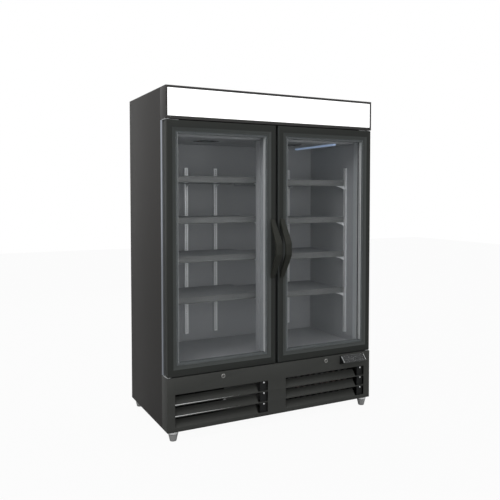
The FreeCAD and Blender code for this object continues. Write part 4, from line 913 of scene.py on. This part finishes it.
def build_gasket(side):
    """Bellows gasket with a magnet pad along its rear."""
    node = f"gasket_{side}"
    low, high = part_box(node)
    door, face = low.y, high.y
    section = [(3, door), (19, door), (20.5, door + 3 * MM), (16, door + 6 * MM),
               (20.5, face - 6 * MM), (22, face - 4 * MM), (22, face - 0.8 * MM), (21, face),
               (1, face), (0, face - 0.8 * MM), (0, face - 4 * MM), (1.5, face - 6 * MM),
               (6, door + 6 * MM), (1.5, door + 3 * MM)]
    mesh = bmesh.new()
    window_frame(mesh, low, high, [(inset * MM, inset * MM, y) for inset, y in section])
    # Painted light: the gasket's grey is lightened so that it reads lighter in the shaded recess and the
    # door gap.
    settle(f"bellows_gasket_{side}", mesh, "gasket_pvc", [node], body=f"door_{side}")


def build_handle(side):
    """Bowed grip: round-edged bar that leaves the door at both ends and is deepest half-way."""
    node = f"handle_{side}"
    low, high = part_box(node)
    middle_x = (low.x + high.x) / 2
    reach = high.y - low.y
    length = high.z - low.z
    foot, bar_depth, peak, waist = 26 * MM, 17 * MM, 32 * MM, 26 * MM
    half = length / 2
    rings = []
    steps = 44
    for i in range(steps + 1):
        t = -half + length * i / steps
        away = abs(t)
        rise = min(1.0, (half - away) / (half - peak))
        swell = rise * rise * (3 - 2 * rise) * 0.15 + rise * 0.85
        front = (reach - bar_depth * 0.55) * (1 - swell)
        if half - away < foot:
            back = reach
        else:
            inner = min(1.0, (half - foot - away) / (half - foot - peak * 0.7))
            back = reach - (reach - bar_depth) * (inner * 0.8 + 0.2 * math.sin(inner * math.pi / 2))
        width = waist + (high.x - low.x - waist) * math.sin(rise * math.pi / 2)
        depth = back - front
        corner = min(6 * MM, depth * 0.45, width * 0.45)
        section = rounded_section(width, depth, corner, 4)
        centre_y = low.y + (front + back) / 2
        rings.append([(middle_x + x, centre_y + y, (low.z + high.z) / 2 + t) for x, y in section])
    mesh = bmesh.new()
    loft(mesh, rings)
    soften(mesh, 1.2 * MM, 2, 50)
    settle(f"grip_{side}", mesh, "handle_abs", [node], body=f"door_{side}", smooth=45)


class FREEZER_OT_doors(bpy.types.Operator):
    """Two glass doors with frames, sealed glass, gaskets, handles and hinge plates."""
    bl_idname = "freezer.doors"
    bl_label = "Doors"

    def execute(self, context):
        for side in SIDES:
            build_door_frame(side)
            build_glass(side)
            build_gasket(side)
            build_handle(side)
        redress("hinge_plates", "hinge_brackets", "hinge_zinc", 0.4 * MM)
        return {"FINISHED"}


# --- inside
def build_shelf(node, low, high, settings):
    """Round wires on bent support wires, with bars along the front and rear."""
    mesh = bmesh.new()
    fine, thick = 2.2 * MM, 2.8 * MM
    top = high.z - fine
    count = round((high.y - low.y - 2 * thick) / settings.wire_pitch)
    for i in range(count + 1):
        y = low.y + fine + (high.y - low.y - 2 * fine) * i / count
        bar(mesh, (low.x, y, top), (high.x, y, top), fine, 8)
    under = top - fine - thick + 0.4 * MM
    bend = 7 * MM
    for i in range(settings.support_wires):
        x = low.x + thick + (high.x - low.x - 2 * thick) * i / (settings.support_wires - 1)
        path = [(x, low.y + thick, low.z + thick)]
        for y, way in ((low.y + thick, 1), (high.y - thick, -1)):
            arc = [(x, y + way * bend * (1 - math.cos(math.pi / 2 * k / 4)),
                    under - bend * (1 - math.sin(math.pi / 2 * k / 4))) for k in range(5)]
            path += arc if way > 0 else arc[::-1]
        path.append((x, high.y - thick, low.z + thick))
        tube(mesh, path, thick, 8)
    for y in (low.y + thick, high.y - thick):
        for z in (low.z + thick, under - 2.2 * thick):
            bar(mesh, (low.x, y, z), (high.x, y, z), thick, 8)
    settle(node.replace("shelf", "wire_shelf"), mesh, "shelf_wire", [node])


def build_strip(mesh, left, right, front, back, top):
    """Extruded channel with a lip along each edge that holds the paper strip."""
    rise = 38 * MM
    outline = [(back, 0), (back, 38), (front + 1 * MM, 38), (front, 37), (front, 33.4),
               (front + 1.2 * MM, 32.6), (front + 2.6 * MM, 32.6), (front + 2.6 * MM, 5.4),
               (front + 1.2 * MM, 5.4), (front, 4.6), (front, 1), (front + 1 * MM, 0)]
    prism(mesh, [(y, top - rise + z * MM) for y, z in outline], 0, left, right)


class FREEZER_OT_shelves(bpy.types.Operator):
    """Eight wire shelves and their price strips."""
    bl_idname = "freezer.shelves"
    bl_label = "Wire shelves"

    def execute(self, context):
        settings = context.scene.freezer_inside
        strips = bmesh.new()
        strip_low, strip_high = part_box("price_strips")
        for side in SIDES:
            for number in SHELVES:
                node = f"shelf_{side}_{number}"
                low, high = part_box(node)
                build_shelf(node, low, high, settings)
                top = high.z + 7 * MM
                build_strip(strips, low.x, high.x, strip_low.y, strip_high.y, top)
        settle("shelf_edge_strips", strips, "strip_pvc", ["price_strips"])
        return {"FINISHED"}


def roots(side, low, high, wall_y):
    """Where one bay's uprights or brackets leave the walls: x, y and the way they stand out."""
    sign = SIDES[side]
    rear = [(x, high.y, -Y_AXIS) for x in REAR_UPRIGHTS[side]]
    return rear + [(POST_UPRIGHT * sign, low.y, Y_AXIS), (high.x * sign, wall_y, -X_AXIS * sign)]


def build_standard(mesh, foot, out, start, end):
    """Rolled channel against a wall: slotted face and two side flanges."""
    depth, half, sheet, slot, slot_half = 12 * MM, 11 * MM, 1.8 * MM, 8 * MM, 2.4 * MM
    across = Z_AXIS.cross(out)

    def point(u, v, w):
        return foot + across * u + out * w + Z_AXIS * v

    count = int((end - start - 2 * SLOT_PITCH) / SLOT_PITCH)
    first = start + (end - start - count * SLOT_PITCH) / 2
    middles = [first + i * SLOT_PITCH for i in range(count + 1)]
    holes = [(-slot_half, slot_half, middle - slot / 2, middle + slot / 2) for middle in middles]
    pierced(mesh, (-half, half), (start, end), (depth - sheet, depth), holes, point)
    for edge in (-half, half - sheet):
        pierced(mesh, (edge, edge + sheet), (start, end), (0.1 * MM, depth - sheet), [], point)


def build_brackets():
    """Pressed knife brackets: flat top, curved lower edge, blunt tip."""
    low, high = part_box("shelf_brackets")
    reach, tall, tip, sheet = 62 * MM, 26 * MM, 3 * MM, 4 * MM
    outline = [(0, 0), (reach, 0), (reach, -tip * 0.7), (reach - 2 * MM, -tip)]
    for step in range(1, 7):
        t = step / 7
        outline.append(((reach - 2 * MM) * (1 - t), -tip - (tall - tip) * t ** 1.5))
    outline.append((0, -tall))
    mesh = bmesh.new()
    for side in SIDES:
        for number in SHELVES:
            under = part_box(f"shelf_{side}_{number}")[0].z
            for x, y, out in roots(side, low, high, SIDE_BRACKET_Y):
                across = Z_AXIS.cross(out)
                rings = []
                for shift in (-sheet / 2, sheet / 2):
                    rings.append([Vector((x, y, under)) + out * along + Z_AXIS * up + across * shift
                                  for along, up in outline])
                loft(mesh, rings)
    settle("knife_brackets", mesh, "standard_zinc", ["shelf_brackets"], edge=0.5 * MM)


class FREEZER_OT_standards(bpy.types.Operator):
    """Slotted shelf standards and the brackets hooked into them."""
    bl_idname = "freezer.standards"
    bl_label = "Standards and brackets"

    def execute(self, context):
        low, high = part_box("shelf_standards")
        mesh = bmesh.new()
        for side in SIDES:
            for x, y, out in roots(side, low, high, SIDE_UPRIGHT_Y):
                build_standard(mesh, Vector((x, y, 0)), out, low.z, high.z)
        settle("slotted_standards", mesh, "standard_zinc", ["shelf_standards"])
        build_brackets()
        return {"FINISHED"}


def fin_stack(low, high, margin, pitch, half, inset):
    """Upright fins side by side, in a mesh of their own; the last step fits the pack's width."""
    mesh = bmesh.new()
    span = high.x - low.x - 2 * margin
    count = int(span / pitch)
    for i in range(count + 1):
        x = low.x + margin + span * i / count
        block(mesh, (x - half, low.y + inset, low.z + inset), (x + half, high.y - inset, high.z - inset))
    return mesh


def build_coil():
    """Fin pack with end plates and tube bends."""
    low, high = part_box("evaporator_coil")
    fins = fin_stack(low, high, 20 * MM, 11.6 * MM, 0.6 * MM, 1 * MM)
    for x in (low.x + 17 * MM, high.x - 17 * MM):
        block(fins, (x - 1 * MM, low.y, low.z), (x + 1 * MM, high.y, high.z))
    settle("evaporator_fins", fins, "fin_aluminium", ["evaporator_coil"])
    pipes = bmesh.new()
    rows = [(low.y + (high.y - low.y) * (j + 0.5) / 3, low.z + (high.z - low.z) * (k + 0.5) / 4)
            for j in range(3) for k in range(4)]
    for y, z in rows:
        bar(pipes, (low.x + 14 * MM, y, z), (high.x - 14 * MM, y, z), 4.8 * MM, 12)
    for x, way in ((low.x + 14 * MM, -1), (high.x - 14 * MM, 1)):
        for j in range(3):
            y = low.y + (high.y - low.y) * (j + 0.5) / 3
            for k in ((0, 2) if way < 0 else (1,)):
                z0 = low.z + (high.z - low.z) * (k + 0.5) / 4
                z1 = low.z + (high.z - low.z) * (k + 1.5) / 4
                arc = [(x + way * 10 * MM * math.sin(math.pi * s / 8), y,
                        z0 + (z1 - z0) * (1 - math.cos(math.pi * s / 8)) / 2) for s in range(9)]
                tube(pipes, arc, 4.6 * MM, 12)
    settle("evaporator_tubes", pipes, "copper_tube")


class FREEZER_OT_cooling(bpy.types.Operator):
    """Ceiling cover, lamp, evaporator coil and fans above the shelves."""
    bl_idname = "freezer.cooling"
    bl_label = "Ceiling unit"

    def execute(self, context):
        redress("evaporator_cover", "ceiling_cover", "cover_plastic", 0.8 * MM)
        low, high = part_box("ceiling_lamp")
        mesh = bmesh.new()
        lens = [(low.x, high.z), (low.x, low.z + 5 * MM), (low.x + 4 * MM, low.z + 1 * MM),
                (low.x + 8 * MM, low.z), (high.x - 8 * MM, low.z), (high.x - 4 * MM, low.z + 1 * MM),
                (high.x, low.z + 5 * MM), (high.x, high.z)]
        prism(mesh, lens, 1, low.y, high.y)
        settle("ceiling_light", mesh, "lamp_diffuser", ["ceiling_lamp"], edge=0.6 * MM)
        redress("evaporator_fans", "fan_guards", "fan_nylon", 0.5 * MM)
        build_coil()
        for side in SIDES:
            blades(f"evaporator_blades_{side}", f"evaporator_wheel_{side}", f"evaporator_fan_{side}",
                   Z_AXIS)
        return {"FINISHED"}


def blades(node, name, body, axis):
    """Fan wheel: chamfered hub and five twisted vanes."""
    low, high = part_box(node)
    lift = high - low
    middle = (low + high) / 2
    rise = lift.z if axis == Z_AXIS else lift.y
    reach = (77 if axis == Z_AXIS else 84) * MM
    centre = AXES[f"{body}_spin"].copy()
    if axis == Z_AXIS:
        centre.z = middle.z
    else:
        centre.y = middle.y
    turn = axis.to_track_quat("Z", "Y").to_matrix()
    mesh = bmesh.new()
    profile = [(3.05 * MM, -rise / 2), (16 * MM, -rise / 2), (20 * MM, -rise / 2 + 4 * MM),
               (20 * MM, rise / 2 - 4 * MM), (16 * MM, rise / 2), (3.05 * MM, rise / 2)]
    lathe(mesh, profile, centre, axis, 32, closed=True)
    for vane in range(5):
        base = math.tau * vane / 5
        sections = []
        for step in range(7):
            t = step / 6
            radius = 18 * MM + (reach - 18 * MM) * t
            pitch_angle = math.radians(38 - 14 * t)
            chord = (24 + 16 * math.sin(math.pi * (0.25 + 0.6 * t))) * MM
            sweep = base + 0.25 * t
            section = []
            for along, thick in ((-0.5, 0.0), (-0.25, 0.8), (0.1, 1.0), (0.5, 0.0), (0.1, -0.6),
                                 (-0.25, -0.4)):
                flat = chord * along * math.cos(pitch_angle)
                tall = max(-rise / 2 + 1.2 * MM, min(rise / 2 - 1.2 * MM,
                                                      chord * along * math.sin(pitch_angle)))
                tall += thick * 1.0 * MM
                angle = sweep + flat / radius
                section.append(centre + turn @ Vector((radius * math.cos(angle),
                                                       radius * math.sin(angle), tall)))
            sections.append(section)
        loft(mesh, sections)
    settle(name, mesh, "fan_nylon", [node], body=body)


# --- machine space
def build_condenser():
    """Fin pack in a sheet frame, with tubes through it."""
    low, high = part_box("condenser_coil")
    fins = fin_stack(low, high, 8 * MM, 8 * MM, 0.5 * MM, 2 * MM)
    settle("condenser_fins", fins, "fin_aluminium", ["condenser_coil"])
    ends = bmesh.new()
    for start in (low.x, high.x - 2 * MM):
        block(ends, (start, low.y, low.z), (start + 2 * MM, high.y, high.z))
    for start in (low.z, high.z - 2 * MM):
        block(ends, (low.x + 2 * MM, low.y, start), (high.x - 2 * MM, high.y, start + 2 * MM))
    settle("condenser_frame", ends, "galvanised_sheet", edge=0.4 * MM)
    pipes = bmesh.new()
    for row in range(7):
        z = low.z + 20 * MM + row * 30 * MM
        for y in (low.y + 18 * MM, high.y - 18 * MM):
            bar(pipes, (low.x + 1 * MM, y, z), (high.x - 1 * MM, y, z), 4.8 * MM, 12)
    settle("condenser_tubes", pipes, "copper_tube")


def build_compressor():
    """Welded steel can with its seam, on a pressed plate and four rubber pads."""
    low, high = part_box("compressor")
    middle = (low + high) / 2
    radius = 92 * MM
    mesh = bmesh.new()
    foot = low.z + 12 * MM
    height = high.z - foot
    profile = [(0, 0), (radius * 0.9, 0), (radius * 0.97, height * 0.05), (radius, height * 0.12),
               (radius, height * 0.42), (radius, height * 0.44), (radius, height * 0.72),
               (radius * 0.95, height * 0.83), (radius * 0.8, height * 0.93),
               (radius * 0.45, height * 0.99), (0, height)]
    lathe(mesh, profile, (middle.x, middle.y, foot), Z_AXIS, 56)
    seam = [(radius - 2 * MM, 0), (radius + 2.5 * MM, 1.5 * MM), (radius + 2.5 * MM, 4.5 * MM),
            (radius - 2 * MM, 6 * MM)]
    lathe(mesh, seam, (middle.x, middle.y, foot + height * 0.55), Z_AXIS, 56)
    plate = [(-1, -0.55), (-0.55, -1), (0.55, -1), (1, -0.55), (1, 0.55), (0.55, 1), (-0.55, 1),
             (-1, 0.55)]
    half = (high.x - low.x) / 2
    prism(mesh, [(middle.x + u * half, middle.y + v * half) for u, v in plate], 2, low.z + 6 * MM,
          low.z + 9 * MM)
    for u in (-1, 1):
        for v in (-1, 1):
            lathe(mesh, [(0, 0), (11 * MM, 0), (12 * MM, 3 * MM), (9 * MM, 6 * MM), (0, 6 * MM)],
                  (middle.x + u * half * 0.72, middle.y + v * half * 0.72, low.z), Z_AXIS, 20)
    soften(mesh, 0.8 * MM, 2, 50)
    settle("compressor_can", mesh, "compressor_enamel", ["compressor"])


class FREEZER_OT_machinery(bpy.types.Operator):
    """Condenser, its fan, the compressor and the power inlet."""
    bl_idname = "freezer.machinery"
    bl_label = "Machine space"

    def execute(self, context):
        build_condenser()
        redress("condenser_fan_shroud", "fan_shroud", "galvanised_sheet", 0.8 * MM)
        blades("condenser_blades", "condenser_wheel", "condenser_fan", Y_AXIS)
        build_compressor()
        redress("power_inlet", "inlet_housing", "black_nylon", 0.8 * MM)
        low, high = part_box("power_inlet")
        blades_mesh = bmesh.new()
        for shift, lift in ((-8, 3), (0, -3), (8, 3)):
            x = (low.x + high.x) / 2 + shift * MM
            z = (low.z + high.z) / 2 + lift * MM
            block(blades_mesh, (x - 1 * MM, high.y - 22 * MM, z - 2.2 * MM),
                  (x + 1 * MM, high.y - 6 * MM, z + 2.2 * MM))
        settle("inlet_pins", blades_mesh, "socket_brass", edge=0.5 * MM)
        return {"FINISHED"}


class FREEZER_OT_feet(bpy.types.Operator):
    """Four levelling feet: tapered foot, turned collar and threaded stud."""
    bl_idname = "freezer.feet"
    bl_label = "Levelling feet"

    def execute(self, context):
        for side in SIDES:
            for end in ("front", "rear"):
                node = f"foot_{end}_{side}"
                low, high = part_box(node)
                x, y = (low.x + high.x) / 2, (low.y + high.y) / 2
                top, crest = 53.7 * MM, 6 * MM
                flare = (high.x - low.x) / 2
                profile = [(0, 0), (16.5 * MM, 0), (19 * MM, 2 * MM), (19.6 * MM, 6 * MM),
                           (flare - 1.6 * MM, top - 14 * MM), (flare - 3 * MM, top - 13.4 * MM),
                           (flare - 3 * MM, top - 12 * MM), (flare, top - 11.5 * MM),
                           (flare, top - 1 * MM), (flare - 1 * MM, top), (crest, top)]
                z = top
                while z < high.z - 2.5 * MM:
                    profile += [(crest, z + 0.3 * MM), (crest - 0.8 * MM, z + 1.1 * MM)]
                    z += THREAD_PITCH
                profile += [(5.8 * MM, high.z - 1.2 * MM), (4.8 * MM, high.z), (0, high.z)]
                mesh = bmesh.new()
                lathe(mesh, profile, (x, y, low.z), Z_AXIS, 40)
                piece = settle(f"levelling_foot_{end}_{side}", mesh, "foot_zinc", [node],
                               body=f"{end}_foot_{side}")
                rim = low.z + top - 11.8 * MM
                part_finish(piece, "collar_zinc", lambda at, out: at.z > rim)
                # Painted shade: a near-black band in the groove just under the collar.
                part_finish(piece, "pan_powder_coat", lambda at, out: rim - 2.5 * MM < at.z < rim)
        return {"FINISHED"}


# --- stage
def build_floor():
    """Level floor a hair under the feet, wide enough to fill the picture."""
    mesh = bmesh.new()
    reach, under = 12, -0.4 * MM
    corners = ((-reach, -reach), (reach, -reach), (reach, reach), (-reach, reach))
    mesh.faces.new([mesh.verts.new((x, y, under)) for x, y in corners])
    data = bpy.data.meshes.new("studio_floor")
    mesh.to_mesh(data)
    mesh.free()
    floor = bpy.data.objects.new("studio_floor", data)
    bpy.context.scene.collection.objects.link(floor)
    made, tree, shader = start_material("white_floor", linear("#a2a2a2"), 0.9)
    data.materials.append(made)
    # The camera sees plain white but for the object's shadow, which stays as a soft darkening.
    ray = add_node(tree, "ShaderNodeLightPath")
    glow = add_node(tree, "ShaderNodeEmission", {"Color": (1, 1, 1, 1), "Strength": 1.0})
    mirrored = add_node(tree, "ShaderNodeMath", {"operation": "MULTIPLY", 1: 0.1},
                        {0: ray.outputs["Is Glossy Ray"]})
    share = add_node(tree, "ShaderNodeMath", {"operation": "MULTIPLY_ADD", 1: 0.95},
                     {0: ray.outputs["Is Camera Ray"], 2: mirrored.outputs["Value"]})
    mix = add_node(tree, "ShaderNodeMixShader", None,
                   {0: share.outputs["Value"], 1: shader.outputs["BSDF"], 2: glow.outputs["Emission"]})
    tree.links.new(mix.outputs["Shader"], tree.nodes["Material Output"].inputs["Surface"])


def build_world(scene):
    """Soft light that is stronger from above; a camera or a reflection sees plain white."""
    world = bpy.data.worlds.new("studio")
    scene.world = world
    world.use_nodes = True
    tree = world.node_tree
    way = add_node(tree, "ShaderNodeTexCoord").outputs["Generated"]
    height = add_node(tree, "ShaderNodeSeparateXYZ", None, {"Vector": way}).outputs["Z"]
    level = add_node(tree, "ShaderNodeMapRange",
                     {"From Min": -0.2, "From Max": 1.0, "To Min": 0.42, "To Max": 0.95},
                     {"Value": height})
    soft = tree.nodes["Background"]
    soft.inputs["Color"].default_value = (1, 1, 1, 1)
    tree.links.new(level.outputs["Result"], soft.inputs["Strength"])
    white = add_node(tree, "ShaderNodeBackground", {"Color": (1, 1, 1, 1), "Strength": 1.0})
    ray = add_node(tree, "ShaderNodeLightPath")
    seen = ray.outputs["Is Camera Ray"]
    for kind in ("Is Glossy Ray", "Is Transmission Ray"):
        seen = add_node(tree, "ShaderNodeMath", {"operation": "MAXIMUM"},
                        {0: seen, 1: ray.outputs[kind]}).outputs["Value"]
    mix = add_node(tree, "ShaderNodeMixShader", None,
                   {0: seen, 1: soft.outputs["Background"], 2: white.outputs["Background"]})
    tree.links.new(mix.outputs["Shader"], tree.nodes["World Output"].inputs["Surface"])


def build_lamps():
    """Large soft boxes: one high on the left, one low in front, one overhead, one behind."""
    for name, (spot, aim, size, power) in LAMPS.items():
        data = bpy.data.lights.new(name, "AREA")
        data.shape = "SQUARE"
        data.size = size
        data.energy = power
        lamp = bpy.data.objects.new(name, data)
        bpy.context.scene.collection.objects.link(lamp)
        lamp.location = spot
        lamp.rotation_euler = (Vector(aim) - Vector(spot)).to_track_quat("-Z", "Y").to_euler()


def build_camera(scene):
    """The camera where the photograph was taken from."""
    data = bpy.data.cameras.new("studio_camera")
    data.sensor_width = SENSOR
    data.lens = LENS
    data.shift_x, data.shift_y = LENS_SHIFT
    camera = bpy.data.objects.new("studio_camera", data)
    scene.collection.objects.link(camera)
    place = Matrix.Translation(CAMERA_PLACE)
    for degrees, axis in CAMERA_TURNS:
        place = place @ Matrix.Rotation(math.radians(degrees), 4, axis)
    camera.matrix_world = place
    scene.camera = camera


class FREEZER_OT_stage(bpy.types.Operator):
    """Pale floor, soft studio light and the camera at the photograph's angle."""
    bl_idname = "freezer.stage"
    bl_label = "Stage"

    def execute(self, context):
        scene = context.scene
        scene.view_settings.view_transform = "Standard"
        # A line of sight through both closed doors crosses a dozen pane faces.
        scene.cycles.transparent_max_bounces = 32
        build_floor()
        build_world(scene)
        build_lamps()
        build_camera(scene)
        return {"FINISHED"}


# --- panel and registration
class FREEZER_PT_panel(bpy.types.Panel):
    bl_idname = "FREEZER_PT_panel"
    bl_label = "Freezer"
    bl_space_type = "VIEW_3D"
    bl_region_type = "UI"
    bl_category = "Freezer"

    def draw(self, context):
        for group, kind in GROUPS:
            box = self.layout.box()
            for prop in kind.__annotations__:
                box.prop(getattr(context.scene, group), prop)
        for operator in OPERATORS:
            self.layout.operator(operator.bl_idname)


GROUPS = (
    ("freezer_cabinet", FreezerCabinetSettings),
    ("freezer_header", FreezerHeaderSettings),
    ("freezer_door", FreezerDoorSettings),
    ("freezer_inside", FreezerInsideSettings),
)
OPERATORS = (FREEZER_OT_cabinet, FREEZER_OT_header, FREEZER_OT_grille, FREEZER_OT_controller,
             FREEZER_OT_doors, FREEZER_OT_shelves, FREEZER_OT_standards, FREEZER_OT_cooling,
             FREEZER_OT_machinery, FREEZER_OT_feet, FREEZER_OT_stage)


def register():
    for group, kind in GROUPS:
        bpy.utils.register_class(kind)
        setattr(bpy.types.Scene, group, PointerProperty(type=kind))
    for kind in (*OPERATORS, FREEZER_PT_panel):
        bpy.utils.register_class(kind)


def unregister():
    for kind in reversed((*OPERATORS, FREEZER_PT_panel)):
        bpy.utils.unregister_class(kind)
    for group, kind in reversed(GROUPS):
        delattr(bpy.types.Scene, group)
        bpy.utils.unregister_class(kind)


def main():
    register()
    for operator in OPERATORS:
        group, call = operator.bl_idname.split(".")
        getattr(getattr(bpy.ops, group), call)()


if __name__ == "__main__":
    main()
